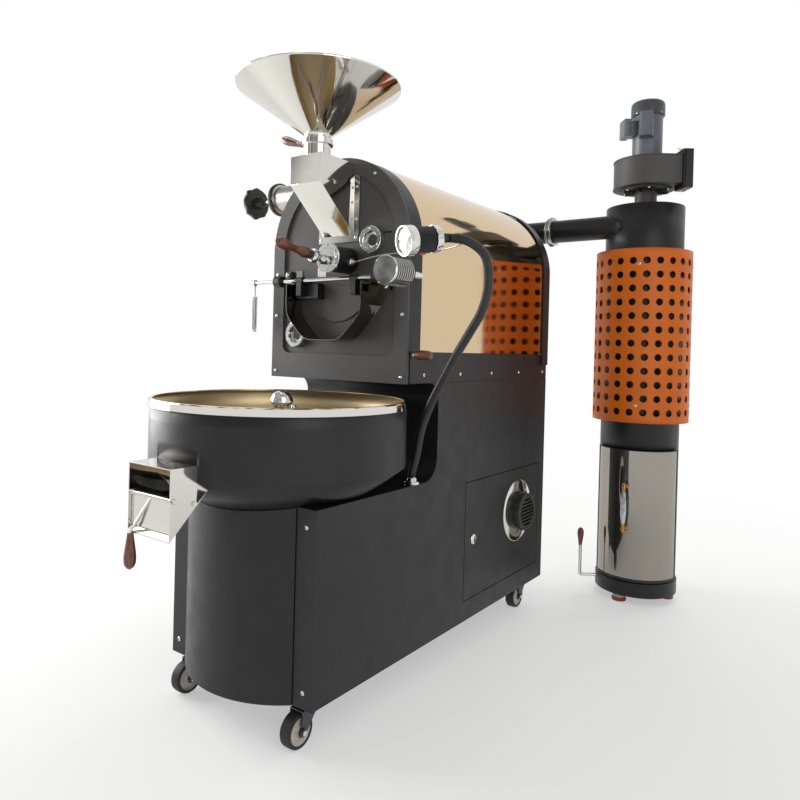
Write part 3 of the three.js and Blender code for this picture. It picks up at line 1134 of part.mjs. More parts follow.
// Air damper: a tube through the cover with an end ring, and a lobed handwheel on a spindle
function makeDamper() {
  const ringOut = -DAMPER_OUTER - DAMPER_END;
  const bore = SPINDLE_RADIUS + CLEARANCE;
  const inner = DAMPER_RADIUS - DAMPER_WALL;
  const tube = join(
    turned([[inner, -DAMPER_INNER], [DAMPER_RADIUS, -DAMPER_INNER], [DAMPER_RADIUS, ringOut], [bore, ringOut],
      [bore, -DAMPER_OUTER], [inner, -DAMPER_OUTER], [inner, -DAMPER_INNER]], "x", DAMPER_Y, DAMPER_Z),
    ring("x", DAMPER_RING_RADIUS, DAMPER_RADIUS - DAMPER_WALL / 2, ringOut - DAMPER_WALL,
      ringOut + DAMPER_RING_WIDTH - DAMPER_WALL, DAMPER_Y, DAMPER_Z),
  );
  addPart("damper_tube", tube, BRUSHED_STEEL);
  const rim = new THREE.Shape(
    Array.from({ length: HANDWHEEL_LOBES * 4 }, (_, i) => {
      const angle = (2 * Math.PI * i) / (HANDWHEEL_LOBES * 4);
      const radius = i % 4 < 2 ? HANDWHEEL_RADIUS : HANDWHEEL_RADIUS * HANDWHEEL_LOBE_SHARE;
      return new THREE.Vector2(DAMPER_Y + radius * Math.cos(angle), DAMPER_Z + radius * Math.sin(angle));
    }),
  );
  const [back, front] = [HANDWHEEL_THICKNESS / 2 - HANDWHEEL_OUT, -HANDWHEEL_THICKNESS / 2 - HANDWHEEL_OUT];
  const wheel = join(
    cut(
      pushed(rim, "x", front, back),
      ring("x", HANDWHEEL_RADIUS * HANDWHEEL_LOBE_SHARE - SHEET * 2, HANDWHEEL_HUB, front - OVERRUN,
        front + HANDWHEEL_THICKNESS / 3, DAMPER_Y, DAMPER_Z, SMALL),
    ),
    rod("x", SPINDLE_RADIUS, front + SHEET, DAMPER_SLEEVE - DAMPER_OUTER, DAMPER_Y, DAMPER_Z, SMALL),
    rod("x", DAMPER_DISC, -DAMPER_OUTER + DAMPER_SLEEVE - SHEET, DAMPER_SLEEVE - DAMPER_OUTER, DAMPER_Y, DAMPER_Z, SMALL),
  );
  addPart("damper_wheel", wheel, BLACK_PLASTIC);
}

// Wooden pull knob on the side of the housing base
function makeSideKnob() {
  const face = HALF_WIDTH + CLEARANCE;
  const neck = face + KNOB_BASE;
  const end = neck + KNOB_LENGTH;
  const shares = [[0.1, 0.8], [0.5, 1], [0.9, 0.9], [1, 0.6]];
  const profile = shares.map(([along, wide]) => [KNOB_RADIUS * wide, neck + KNOB_LENGTH * along]);
  addPart("side_knob",
    turned([[0, face - KNOB_ROD_LENGTH], [KNOB_ROD_RADIUS, face - KNOB_ROD_LENGTH], [KNOB_ROD_RADIUS, face],
      [KNOB_BASE_RADIUS, face], [KNOB_BASE_RADIUS, neck], ...profile, [0, end]], "x", KNOB_Y, KNOB_Z, SMALL), WOOD);
}

// Places of the lamp arm from the lamp's rear down to the deck.
const armPlaces = [
  [470, 180, 1158],
  [503, 195, 1148],
  [520, 212, 1118],
  [523, 232, 1078],
  [514, 252, 1034],
  [489, 271, 988],
  [452, 290, 945],
  [401, 311, 883],
  [345, 335, 812],
  [305, 355, 758],
  [268, 373, 690],
  [245, 388, 620],
];
const ARM_FOOT_X = 226;
const ARM_FOOT_Y = 398;

// Lamp with ribs, lens and button, on an arm that stands on the deck
function makeLamp() {
  const lamp = new THREE.Group();
  lamp.position.set(LAMP_X, LAMP_Y, LAMP_Z);
  lamp.rotation.y = degrees(-LAMP_TILT);
  machine.add(lamp);
  const ribStart = LENS_DEPTH + LAMP_RING;
  const ribEnd = LAMP_LENGTH - LAMP_REAR_RING;
  const ribPitch = (ribEnd - ribStart) / LAMP_RIBS;
  const ribs = [];
  for (let i = 0; i < LAMP_RIBS; i++) {
    const place = ribStart + i * ribPitch;
    ribs.push([LAMP_RADIUS - LAMP_RIB_DEPTH, place], [LAMP_RADIUS - LAMP_RIB_DEPTH, place + ribPitch / 2]);
    ribs.push([LAMP_RADIUS, place + ribPitch / 2], [LAMP_RADIUS, place + ribPitch]);
  }
  const lensRadius = LAMP_RADIUS - LENS_SEAT;
  const seat = LENS_DEPTH + LENS_SEAT;
  const shell = turned([[0, seat], [lensRadius, seat], [lensRadius, 0], [LAMP_RADIUS, 0], [LAMP_RADIUS, ribStart], ...ribs,
    [LAMP_RADIUS, LAMP_LENGTH], [0, LAMP_LENGTH]], "x", 0, 0, ROUND);
  const buttonX = LAMP_LENGTH / 2;
  const pocket = rod("z", BUTTON_RADIUS + CLEARANCE, -LAMP_RADIUS - OVERRUN, BUTTON_SEAT - LAMP_RADIUS, buttonX, 0, SMALL);
  addPart("lamp_body", cut(shell, pocket), BLACK_PLASTIC, lamp);
  addPart("lamp_lens",
    turned([[0, LENS_SEAT / 2], [lensRadius - CLEARANCE * 2, LENS_SEAT], [lensRadius - CLEARANCE, seat - CLEARANCE],
      [0, seat - CLEARANCE]], "x", 0, 0, ROUND), CLEAR_GLASS, lamp);
  addPart("lamp_button",
    rod("z", BUTTON_RADIUS, -LAMP_RADIUS - BUTTON_PROUD, BUTTON_SEAT - LAMP_RADIUS - BUTTON_TRAVEL - CLEARANCE, buttonX, 0,
      SMALL), RED_PLASTIC, lamp);
  const along = new THREE.Vector3(Math.cos(degrees(LAMP_TILT)), 0, Math.sin(degrees(LAMP_TILT)));
  const start = new THREE.Vector3(LAMP_X, LAMP_Y, LAMP_Z).addScaledVector(along, LAMP_LENGTH + CLEARANCE);
  const foot = DECK_HEIGHT + CLEARANCE;
  const curve = new THREE.CatmullRomCurve3([
    start,
    start.clone().addScaledVector(along, ARM_RADIUS),
    ...armPlaces.map((place) => new THREE.Vector3(...place)),
    new THREE.Vector3(ARM_FOOT_X, ARM_FOOT_Y, foot + ARM_RADIUS * 2),
    new THREE.Vector3(ARM_FOOT_X, ARM_FOOT_Y, foot + ARM_FOOT_HEIGHT / 2),
  ], false, "centripetal");
  addPart("lamp_arm", join(
    carried(curve, ARM_RADIUS, ARM_STEPS, TINY),
    rod("z", ARM_FOOT_RADIUS, foot, foot + ARM_FOOT_HEIGHT, ARM_FOOT_X, ARM_FOOT_Y, SMALL),
  ), BLACK_PLASTIC);
}

const floorBottom = TRAY_WALL_BOTTOM + CLEARANCE;
const floorTop = floorBottom + FLOOR_THICKNESS;

// Cooling tray: bowl, rim band, slotted floor and the stirrer with its arms and paddles
function makeTray() {
  const wallTop = TRAY_RIM - RIM_THICKNESS - CLEARANCE;
  const inner = TRAY_RADIUS - SHEET;
  const bowl = turned(
    [[0, TRAY_NECK], [TRAY_NECK_RADIUS, TRAY_NECK], [TRAY_RADIUS, TRAY_WALL_BOTTOM], [TRAY_RADIUS, wallTop],
      [inner, wallTop], [inner, TRAY_WALL_BOTTOM], [TRAY_NECK_RADIUS - SHEET, TRAY_NECK + SHEET], [0, TRAY_NECK + SHEET]],
    "z", 0, TRAY_Y, FINE);
  const window = block(OUTLET_SHEET - OUTLET_LEFT, OUTLET_RIGHT - OUTLET_SHEET, TRAY_Y - TRAY_RADIUS - OVERRUN,
    TRAY_Y - TRAY_RADIUS / 2, floorTop, OUTLET_TOP - OUTLET_SHEET);
  addPart("tray_body", cut(bowl, window), BLACK_PAINT);
  const [bandInner, bandOuter] = [TRAY_RADIUS + CLEARANCE, TRAY_RADIUS + RIM_THICKNESS];
  const under = TRAY_RIM - RIM_THICKNESS;
  addPart("tray_rim",
    turned([[bandInner, TRAY_RIM - RIM_HEIGHT], [bandOuter, TRAY_RIM - RIM_HEIGHT], [bandOuter, TRAY_RIM],
      [TRAY_RADIUS - RIM_INWARD, TRAY_RIM], [TRAY_RADIUS - RIM_INWARD, under], [bandInner, under],
      [bandInner, TRAY_RIM - RIM_HEIGHT]], "z", 0, TRAY_Y, FINE), MIRROR_STEEL);
  const slots = [];
  for (let row = 0; row < FLOOR_SLOT_ROWS; row++) {
    const from = FLOOR_SLOT_FIRST + row * FLOOR_SLOT_PITCH;
    for (let i = 0; i < FLOOR_SLOT_COUNT; i++) {
      const angle = (2 * Math.PI * (i + row / 2)) / FLOOR_SLOT_COUNT;
      slots.push(spun(block(from, from + FLOOR_SLOT_LENGTH, -FLOOR_SLOT_WIDTH / 2, FLOOR_SLOT_WIDTH / 2,
        floorBottom - OVERRUN, floorTop + OVERRUN), angle).translate(0, TRAY_Y, 0));
    }
  }
  const disc = ring("z", inner - CLEARANCE, STIRRER_SHAFT + SHEET, floorBottom, floorTop, 0, TRAY_Y, FINE);
  addPart("tray_floor", cut(disc, ...slots), CHAMPAGNE_STEEL);
  makeStirrer();
}

// Stirrer: a shaft and domed hub with three arms, each with a turned paddle and a pin
function makeStirrer() {
  const domeBase = STIRRER_NECK_TOP;
  const domeHeight = STIRRER_TOP - domeBase;
  const hub = turned(
    [[0, TRAY_NECK + SHEET + CLEARANCE], [STIRRER_SHAFT, TRAY_NECK + SHEET + CLEARANCE], [STIRRER_SHAFT, floorTop + PADDLE_GAP],
      [STIRRER_HUB, floorTop + PADDLE_GAP], [STIRRER_HUB, STIRRER_HUB_TOP - SHEET * 2], [STIRRER_NECK, STIRRER_HUB_TOP],
      [STIRRER_NECK, domeBase - SHEET], [STIRRER_DOME, domeBase],
      ...[15, 35, 55, 75].map((angle) => [STIRRER_DOME * Math.cos(degrees(angle)), domeBase + domeHeight * Math.sin(degrees(angle))]),
      [0, STIRRER_TOP]],
    "z", 0, 0, ROUND);
  const armTop = STIRRER_ARM_Z + STIRRER_ARM_HEIGHT;
  const low = floorTop + PADDLE_GAP;
  const arms = [];
  for (let i = 0; i < STIRRER_ARMS; i++) {
    const pieces = [
      block(STIRRER_HUB / 2, STIRRER_REACH - PADDLE_LENGTH / 2, -STIRRER_ARM_WIDTH / 2, STIRRER_ARM_WIDTH / 2,
        STIRRER_ARM_Z, armTop),
      rod("z", PIN_RADIUS, STIRRER_ARM_Z, PIN_TOP, PIN_PLACE, 0, TINY),
      rod("z", PADDLE_POST_RADIUS, low + PADDLE_HEIGHT / 2, armTop, STIRRER_REACH - PADDLE_LENGTH * 3 / 4, 0, TINY),
      block(-PADDLE_LENGTH / 2, PADDLE_LENGTH / 2, -PADDLE_THICKNESS / 2, PADDLE_THICKNESS / 2, low, low + PADDLE_HEIGHT)
        .rotateZ(degrees(PADDLE_TURN))
        .translate(STIRRER_REACH - PADDLE_LENGTH * 3 / 4, 0, 0),
    ];
    if (i % 2) {
      pieces.push(rod("z", PADDLE_POST_RADIUS, low + PADDLE_HEIGHT / 2, armTop, PIN_PLACE, 0, TINY));
      pieces.push(block(-PADDLE_LENGTH / 2, PADDLE_LENGTH / 2, -PADDLE_THICKNESS / 2, PADDLE_THICKNESS / 2, low,
        low + PADDLE_HEIGHT).rotateZ(degrees(PADDLE_TURN)).translate(PIN_PLACE, 0, 0));
    }
    arms.push(...pieces.map((piece) => spun(piece, (2 * Math.PI * i) / STIRRER_ARMS)));
  }
  addPart("stirrer", join(hub, ...arms), BRUSHED_STEEL).position.set(0, TRAY_Y, 0);
}

// Drives in the cabinet: the stirrer's gearbox and motor, and the cooling blower
function makeCabinetDrives() {
  const top = TRAY_NECK - CLEARANCE;
  const half = GEARBOX_SIZE / 2;
  const bottom = top - GEARBOX_HEIGHT;
  const floor = CABINET_BOTTOM + SHEET + CLEARANCE;
  const legs = [-half, half - GEARBOX_LEG].map((x) =>
    block(x, x + GEARBOX_LEG, TRAY_Y - GEARBOX_LEG, TRAY_Y + GEARBOX_LEG, floor, bottom + GEARBOX_LEG));
  addPart("stirrer_motor", join(
    block(-half, half, TRAY_Y - half, TRAY_Y + half, bottom, top),
    rod("y", STIRRER_MOTOR_RADIUS, TRAY_Y + half - OVERRUN, TRAY_Y + half + STIRRER_MOTOR_LENGTH, 0,
      (bottom + top) / 2 - CLEARANCE, ROUND),
    ...legs,
  ), GREY_PAINT);
  const scroll = new THREE.Shape();
  scroll.moveTo(FAN_Y - FAN_RADIUS, FAN_HEIGHT);
  scroll.absarc(FAN_Y, FAN_HEIGHT, FAN_RADIUS, Math.PI, 2.5 * Math.PI, false);
  scroll.lineTo(FAN_Y - FAN_RADIUS * 1.5, FAN_HEIGHT + FAN_RADIUS);
  scroll.lineTo(FAN_Y - FAN_RADIUS * 1.5, FAN_HEIGHT);
  const half2 = FAN_WIDTH / 2;
  addPart("cooling_blower", join(
    pushed(scroll, "x", -half2, half2),
    rod("x", FAN_MOTOR_RADIUS, -half2 - FAN_MOTOR_LENGTH, SHEET - half2, FAN_Y, FAN_HEIGHT, ROUND),
    rod("z", FAN_DUCT_RADIUS / 2, FAN_HEIGHT, FAN_DUCT_HEIGHT, 0, FAN_Y - FAN_RADIUS, SMALL),
    block(-half2, half2, FAN_Y - FAN_RADIUS / 2, FAN_Y + FAN_RADIUS / 2, floor, FAN_HEIGHT - FAN_RADIUS / 2),
  ), GREY_PAINT);
}

// Tray outlet: a folded box on the tray's wall with a hanging gate
function makeOutlet() {
  const slopeAt = (y) => OUTLET_BOTTOM + (y + OUTLET_FRONT);
  const lift = OUTLET_SHEET * Math.SQRT2;
  const [back, ahead] = [-OUTLET_BACK, -OUTLET_FRONT - OVERRUN];
  const outer = pushed(
    outlineOf([[-OUTLET_FRONT, OUTLET_BOTTOM], [-OUTLET_FRONT, OUTLET_TOP], [back, OUTLET_TOP], [back, slopeAt(back)]]),
    "x", -OUTLET_LEFT, OUTLET_RIGHT);
  const inner = pushed(
    outlineOf([[ahead, slopeAt(ahead) + lift], [ahead, OUTLET_TOP - OUTLET_SHEET],
      [back + OVERRUN, OUTLET_TOP - OUTLET_SHEET], [back + OVERRUN, slopeAt(back + OVERRUN) + lift]]),
    "x", OUTLET_SHEET - OUTLET_LEFT, OUTLET_RIGHT - OUTLET_SHEET);
  const bolt = rod("x", OUTLET_BOLT_RADIUS, OUTLET_RIGHT - OUTLET_SHEET / 2, OUTLET_RIGHT + OUTLET_BOLT_HEIGHT,
    -OUTLET_BOLT_Y, OUTLET_BOLT_Z, 6);
  const pivot = turningHole("x", FLAP_SHAFT_RADIUS, -OUTLET_LEFT - OVERRUN, OUTLET_RIGHT + OVERRUN, -FLAP_Y, FLAP_Z,
    SMALL);
  const grown = trayOutside(CLEARANCE);
  addPart("outlet_box", cut(join(cut(outer, inner), bolt), grown, pivot), MIRROR_STEEL);
  const flapLeft = OUTLET_SHEET + FLAP_GAP - OUTLET_LEFT;
  const flapRight = OUTLET_RIGHT - OUTLET_SHEET - FLAP_GAP;
  const bend = [-FLAP_GRIP_X, -FLAP_GRIP_Y, FLAP_GRIP_TOP + FLAP_ROD_RADIUS * 2];
  const gripBottom = FLAP_GRIP_TOP - FLAP_GRIP_LENGTH;
  const profile = gripProfile(FLAP_GRIP_LENGTH, FLAP_GRIP_RADIUS, -FLAP_GRIP_TOP);
  addPart("outlet_gate", join(
    rod("x", FLAP_SHAFT_RADIUS, -OUTLET_LEFT - FLAP_SHAFT_RADIUS, OUTLET_RIGHT + FLAP_SHAFT_RADIUS, -FLAP_Y, FLAP_Z, SMALL),
    block(flapLeft, flapRight, -FLAP_Y - FLAP_THICKNESS / 2, FLAP_THICKNESS / 2 - FLAP_Y, FLAP_BOTTOM, FLAP_Z),
    carried(straight([(flapLeft + flapRight) / 2, -FLAP_Y, FLAP_Z], bend), FLAP_ROD_RADIUS, 1, 8),
    rod("z", FLAP_ROD_RADIUS, gripBottom + FLAP_GRIP_LENGTH / 2, bend[2], bend[0], bend[1], TINY),
    turned(profile.map(([radius, place]) => [radius, -place]), "z", bend[0], bend[1], SMALL),
  ), BRUSHED_STEEL);
}

// A slice of a ring between two angles, as an outline about the origin.
function slice(outer, inner, start, end) {
  const outline = new THREE.Shape();
  outline.absarc(0, 0, outer, degrees(start), degrees(end), false);
  outline.absarc(0, 0, inner, degrees(end), degrees(start), true);
  return outline;
}

// Cyclone: body with its vortex tube, perforated jacket, hatch, base ring on feet and ash lever
function makeCyclone() {
  const cyclone = new THREE.Group();
  cyclone.position.set(CYCLONE_X, CYCLONE_Y, 0);
  machine.add(cyclone);
  const inner = CYCLONE_RADIUS - CYCLONE_WALL;
  const foot = BASE_RING_TOP + CLEARANCE;
  const under = CYCLONE_TOP - CYCLONE_WALL;
  const bore = VORTEX_RADIUS - CYCLONE_WALL;
  const shell = turned(
    [[inner, foot], [CYCLONE_RADIUS, foot], [CYCLONE_RADIUS, CYCLONE_TOP], [NECK_RADIUS - CYCLONE_WALL, CYCLONE_TOP],
      [NECK_RADIUS - CYCLONE_WALL, under], [bore, under - CYCLONE_WALL], [bore, under - VORTEX_LENGTH],
      [VORTEX_RADIUS, under - VORTEX_LENGTH], [VORTEX_RADIUS, under], [inner, under], [inner, foot]],
    "z", 0, 0, CYCLONE_SIDES);
  const reach = CYCLONE_RADIUS * 2;
  const doorway = pushed(slice(reach, VORTEX_RADIUS, HATCH_START + HATCH_MARGIN, HATCH_END - HATCH_MARGIN), "z",
    HATCH_BOTTOM + HATCH_MARGIN, HATCH_TOP - HATCH_MARGIN, ROUND);
  const inlet = rod("x", PIPE_RADIUS - PIPE_WALL, -reach, 0, PIPE_Y - CYCLONE_Y, PIPE_Z, ROUND);
  addPart("cyclone_body", cut(shell, doorway, inlet), BLACK_PAINT, cyclone);
  makeJacket(cyclone);
  const hatch = pushed(slice(CYCLONE_RADIUS + CLEARANCE + HATCH_SHEET, CYCLONE_RADIUS + CLEARANCE, HATCH_START, HATCH_END),
    "z", HATCH_BOTTOM, HATCH_TOP, ROUND);
  addPart("cyclone_hatch", hatch, MIRROR_STEEL, cyclone);
  const pan = turned(
    [[0, BASE_RING_BOTTOM], [BASE_RING_RADIUS, BASE_RING_BOTTOM], [BASE_RING_RADIUS, BASE_RING_TOP],
      [BASE_RING_RADIUS - CYCLONE_WALL * 3, BASE_RING_TOP], [BASE_RING_RADIUS - CYCLONE_WALL * 3, BASE_RING_BOTTOM + CYCLONE_WALL],
      [0, BASE_RING_BOTTOM + CYCLONE_WALL]], "z", 0, 0, CYCLONE_SIDES);
  const feet = [0, 1, 2].map((i) => {
    const angle = degrees(FOOT_FIRST) + (2 * Math.PI * i) / 3;
    const profile = [[0, 0], [FOOT_PAD_RADIUS, 0], [FOOT_PAD_RADIUS, FOOT_PAD_HEIGHT], [FOOT_RADIUS, FOOT_PAD_HEIGHT],
      [FOOT_RADIUS, BASE_RING_BOTTOM + CYCLONE_WALL / 2], [0, BASE_RING_BOTTOM + CYCLONE_WALL / 2]];
    return turned(profile, "z", FOOT_PLACE * Math.cos(angle), FOOT_PLACE * Math.sin(angle), SMALL);
  });
  const leverBore = turningHole("x", ASH_LEVER_ROD, -BASE_RING_RADIUS - OVERRUN, -BASE_RING_RADIUS / 2, 0, ASH_LEVER_Z, TINY)
    .rotateZ(degrees(HEAD_TURN));
  addPart("cyclone_base", cut(join(pan, ...feet), leverBore), BLACK_PAINT, cyclone);
  makeAshLever(cyclone);
  makeHead(cyclone);
}

// Perforated jacket: rows of round holes through a drum of flat strips, held off the body by spacers
function makeJacket(cyclone) {
  const top = JACKET_BOTTOM + JACKET_HEIGHT;
  const wall = ring("z", JACKET_RADIUS, JACKET_RADIUS - SHEET, JACKET_BOTTOM, top, 0, 0, JACKET_COLUMNS);
  const holes = [];
  for (let column = 0; column < JACKET_COLUMNS; column++) {
    const angle = (2 * Math.PI * (column + 1 / 2)) / JACKET_COLUMNS;
    for (let row = 0; row < JACKET_ROWS; row++) {
      const z = JACKET_BOTTOM + JACKET_FIRST_ROW + row * JACKET_PITCH;
      holes.push(rod("x", JACKET_HOLE, JACKET_RADIUS - OVERRUN, JACKET_RADIUS + OVERRUN, 0, z, 6).rotateZ(angle));
    }
  }
  const spacers = [];
  for (let i = 0; i < 4; i++) {
    for (const z of [JACKET_BOTTOM + SPACER_INSET, top - SPACER_INSET]) {
      spacers.push(block(CYCLONE_RADIUS + CLEARANCE, JACKET_RADIUS - SHEET * 1.5, -SPACER_WIDTH / 2, SPACER_WIDTH / 2,
        z - SPACER_HEIGHT / 2, z + SPACER_HEIGHT / 2).rotateZ((Math.PI * (i + 1 / 2)) / 2));
    }
  }
  addPart("cyclone_jacket", join(cut(wall, ...holes), ...spacers), ORANGE_PAINT, cyclone);
}

// Ash lever: a crank out of the base ring with a wooden knob
function makeAshLever(cyclone) {
  const arm = -ASH_LEVER_REACH;
  const lever = join(
    rod("x", ASH_LEVER_ROD, arm, ASH_LEVER_INSIDE - BASE_RING_RADIUS, 0, ASH_LEVER_Z, TINY),
    rod("z", ASH_LEVER_ROD, ASH_LEVER_Z - ASH_LEVER_ROD, ASH_LEVER_Z + ASH_LEVER_RISE + OVERRUN, arm, 0, TINY),
    turned(gripProfile(ASH_LEVER_TOP - ASH_LEVER_Z - ASH_LEVER_RISE, ASH_KNOB_RADIUS, ASH_LEVER_Z + ASH_LEVER_RISE), "z",
      arm, 0, SMALL),
  );
  addPart("ash_lever", lever, BRUSHED_STEEL, cyclone).rotation.z = degrees(HEAD_TURN);
}

// Outline of the volute, drawn in by a wall: a spiral that runs out into a straight duct.
function voluteOutline(inset, out) {
  const sweep = 270 - VOLUTE_TONGUE;
  const spiral = Array.from({ length: VOLUTE_STEPS + 1 }, (_, i) => {
    const along = i / VOLUTE_STEPS;
    const angle = degrees(VOLUTE_TONGUE + sweep * along);
    const radius = VOLUTE_SMALL + (VOLUTE_LARGE - VOLUTE_SMALL) * along - inset;
    return [radius * Math.cos(angle), radius * Math.sin(angle)];
  });
  return outlineOf([...spiral, [out, inset - VOLUTE_LARGE], [out, -VOLUTE_THROAT - inset],
    [spiral[0][0], -VOLUTE_THROAT - inset]]);
}

// Fan head: volute with its outlet flange, impeller and finned motor with its boxes
function makeHead(cyclone) {
  const head = new THREE.Group();
  head.rotation.z = degrees(HEAD_TURN);
  cyclone.add(head);
  const top = VOLUTE_BOTTOM + VOLUTE_HEIGHT;
  const neck = CYCLONE_TOP + CLEARANCE;
  const casing = join(
    pushed(voluteOutline(0, VOLUTE_OUT), "z", VOLUTE_BOTTOM, top),
    block(VOLUTE_OUT, VOLUTE_OUT + VOLUTE_FLANGE_THICKNESS, -VOLUTE_LARGE - VOLUTE_FLANGE / 2,
      VOLUTE_FLANGE / 2 - VOLUTE_THROAT, VOLUTE_BOTTOM - VOLUTE_FLANGE / 4, top + VOLUTE_FLANGE / 2),
    rod("z", NECK_RADIUS, neck, VOLUTE_BOTTOM + SHEET, 0, 0, ROUND),
  );
  const hollow = join(
    pushed(voluteOutline(SHEET, VOLUTE_OUT + OVERRUN), "z", VOLUTE_BOTTOM + SHEET, top - SHEET),
    rod("z", NECK_RADIUS - CYCLONE_WALL, neck - OVERRUN, VOLUTE_BOTTOM + OVERRUN, 0, 0, ROUND),
    rod("z", MOTOR_SHAFT_RADIUS * 1.5, top - OVERRUN, top + OVERRUN, 0, 0, SMALL),
  );
  addPart("fan_volute", cut(casing, hollow), BLACK_PAINT, head);
  const lift = VOLUTE_BOTTOM + SHEET + IMPELLER_LIFT;
  const discTop = lift + IMPELLER_HEIGHT;
  const blades = Array.from({ length: IMPELLER_BLADES }, (_, i) =>
    block(IMPELLER_EYE, IMPELLER_RADIUS, -BLADE_THICKNESS / 2, BLADE_THICKNESS / 2, lift, discTop - IMPELLER_DISC / 2)
      .rotateZ((2 * Math.PI * i) / IMPELLER_BLADES));
  addPart("impeller", join(
    rod("z", IMPELLER_RADIUS, discTop - IMPELLER_DISC, discTop, 0, 0, ROUND),
    rod("z", IMPELLER_HUB, discTop - IMPELLER_EYE, discTop, 0, 0, SMALL),
    rod("z", MOTOR_SHAFT_RADIUS, discTop - IMPELLER_DISC, top, 0, 0, SMALL),
    ...blades,
  ), CAST_IRON, head);
  makeHeadMotor(head, top + CLEARANCE);
}

// Motor of the fan: finned case, cap, terminal box and capacitor box
function makeHeadMotor(head, foot) {
  const fins = Array.from({ length: HEAD_MOTOR_FIN_COUNT }, (_, i) =>
    block(HEAD_MOTOR_RADIUS - HEAD_FIN_THICKNESS, HEAD_MOTOR_FIN, -HEAD_FIN_THICKNESS / 2, HEAD_FIN_THICKNESS / 2,
      foot + HEAD_FLANGE_HEIGHT, HEAD_MOTOR_TOP).rotateZ((2 * Math.PI * i) / HEAD_MOTOR_FIN_COUNT));
  const body = turned(
    [[0, foot], [HEAD_FLANGE_RADIUS, foot], [HEAD_FLANGE_RADIUS, foot + HEAD_FLANGE_HEIGHT],
      [HEAD_MOTOR_RADIUS, foot + HEAD_FLANGE_HEIGHT], [HEAD_MOTOR_RADIUS, HEAD_MOTOR_TOP], [HEAD_CAP_RADIUS, HEAD_MOTOR_TOP],
      [HEAD_CAP_RADIUS, HEAD_CAP_TOP - HEAD_CAP_ROUND], [HEAD_CAP_RADIUS - HEAD_CAP_ROUND, HEAD_CAP_TOP], [0, HEAD_CAP_TOP]],
    "z", 0, 0, ROUND);
  addPart("fan_motor", join(
    body,
    ...fins,
    block(-TERMINAL_OUT, -HEAD_MOTOR_RADIUS + SHEET, -TERMINAL_WIDTH / 2, TERMINAL_WIDTH / 2, TERMINAL_BOTTOM, TERMINAL_TOP),
    block(-CAPACITOR_WIDTH / 2, CAPACITOR_WIDTH / 2, -CAPACITOR_OUT, -HEAD_MOTOR_RADIUS + SHEET, CAPACITOR_BOTTOM,
      HEAD_MOTOR_TOP),
  ), GREY_PAINT, head);
}

// Exhaust pipe: from the bulkhead out of the rear plate, round a bend and into the cyclone's side
function makeExhaust() {
  const path = new THREE.CurvePath();
  const corner = new THREE.Vector3(0, PIPE_Y, PIPE_Z);
  const before = new THREE.Vector3(0, PIPE_Y - PIPE_BEND, PIPE_Z);
  const after = new THREE.Vector3(PIPE_BEND, PIPE_Y, PIPE_Z);
  path.add(new THREE.QuadraticBezierCurve3(before, corner, after));
  const elbow = (radius) => carried(path, radius, ELBOW_STEPS, ROUND);
  const start = BULKHEAD_BACK + BEARING_FLANGE;
  const tube = (radius, over) =>
    join(
      rod("y", radius, start - over, PIPE_Y - PIPE_BEND + SHEET, 0, PIPE_Z, ROUND),
      elbow(radius),
      rod("x", radius, PIPE_BEND - SHEET, CYCLONE_X + over, PIPE_Y, PIPE_Z, ROUND),
    );
  const clamp = join(
    rod("x", PIPE_RADIUS + CLAMP_THICKNESS, CLAMP_X - CLAMP_WIDTH / 2, CLAMP_X + CLAMP_WIDTH / 2, PIPE_Y, PIPE_Z, ROUND),
    block(CLAMP_X - CLAMP_WIDTH / 2, CLAMP_X + CLAMP_WIDTH / 2, PIPE_Y - CLAMP_LUG / 2, PIPE_Y + CLAMP_LUG / 2, PIPE_Z,
      PIPE_Z + PIPE_RADIUS + CLAMP_LUG_HEIGHT),
  );
  const cyclone = rod("z", CYCLONE_RADIUS + CLEARANCE, CABINET_TOP, CYCLONE_TOP + OVERRUN, CYCLONE_X, CYCLONE_Y,
    CYCLONE_SIDES);
  addPart("exhaust_pipe", cut(join(tube(PIPE_RADIUS, 0), clamp), tube(PIPE_RADIUS - PIPE_WALL, OVERRUN), cyclone),
    BLACK_PAINT);
}

makeCabinet();
makeBulge();
makeAccessDoor();
makeCastors();
makeFrontPlate();
makeHousingBase();
makeHousingShell();
makeDrum();
makeBurner();
makeHopper();
makeChute();
makeSights();
makeSampler();
makeDischarge();
makeTrough();
makeDamper();
makeSideKnob();
makeLamp();
makeTray();
makeCabinetDrives();
makeOutlet();
makeCyclone();
makeExhaust();

// The part's own origin: the floor under the middle of its box
const extent = new THREE.Box3().setFromObject(machine, true);
const middle = extent.getCenter(new THREE.Vector3());
machine.position.set(-middle.x, -middle.y, 0);
const group = new THREE.Group();
group.add(machine);

export default group;
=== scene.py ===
# %% [markdown]
# # A gas coffee roaster, dressed for its picture
# The measured frame of the roaster comes first: every sheet, pipe and wheel already has its
# place in it. Each cell below turns one part of that frame into the surface that the eye sees,
# with the finish that the real part has.

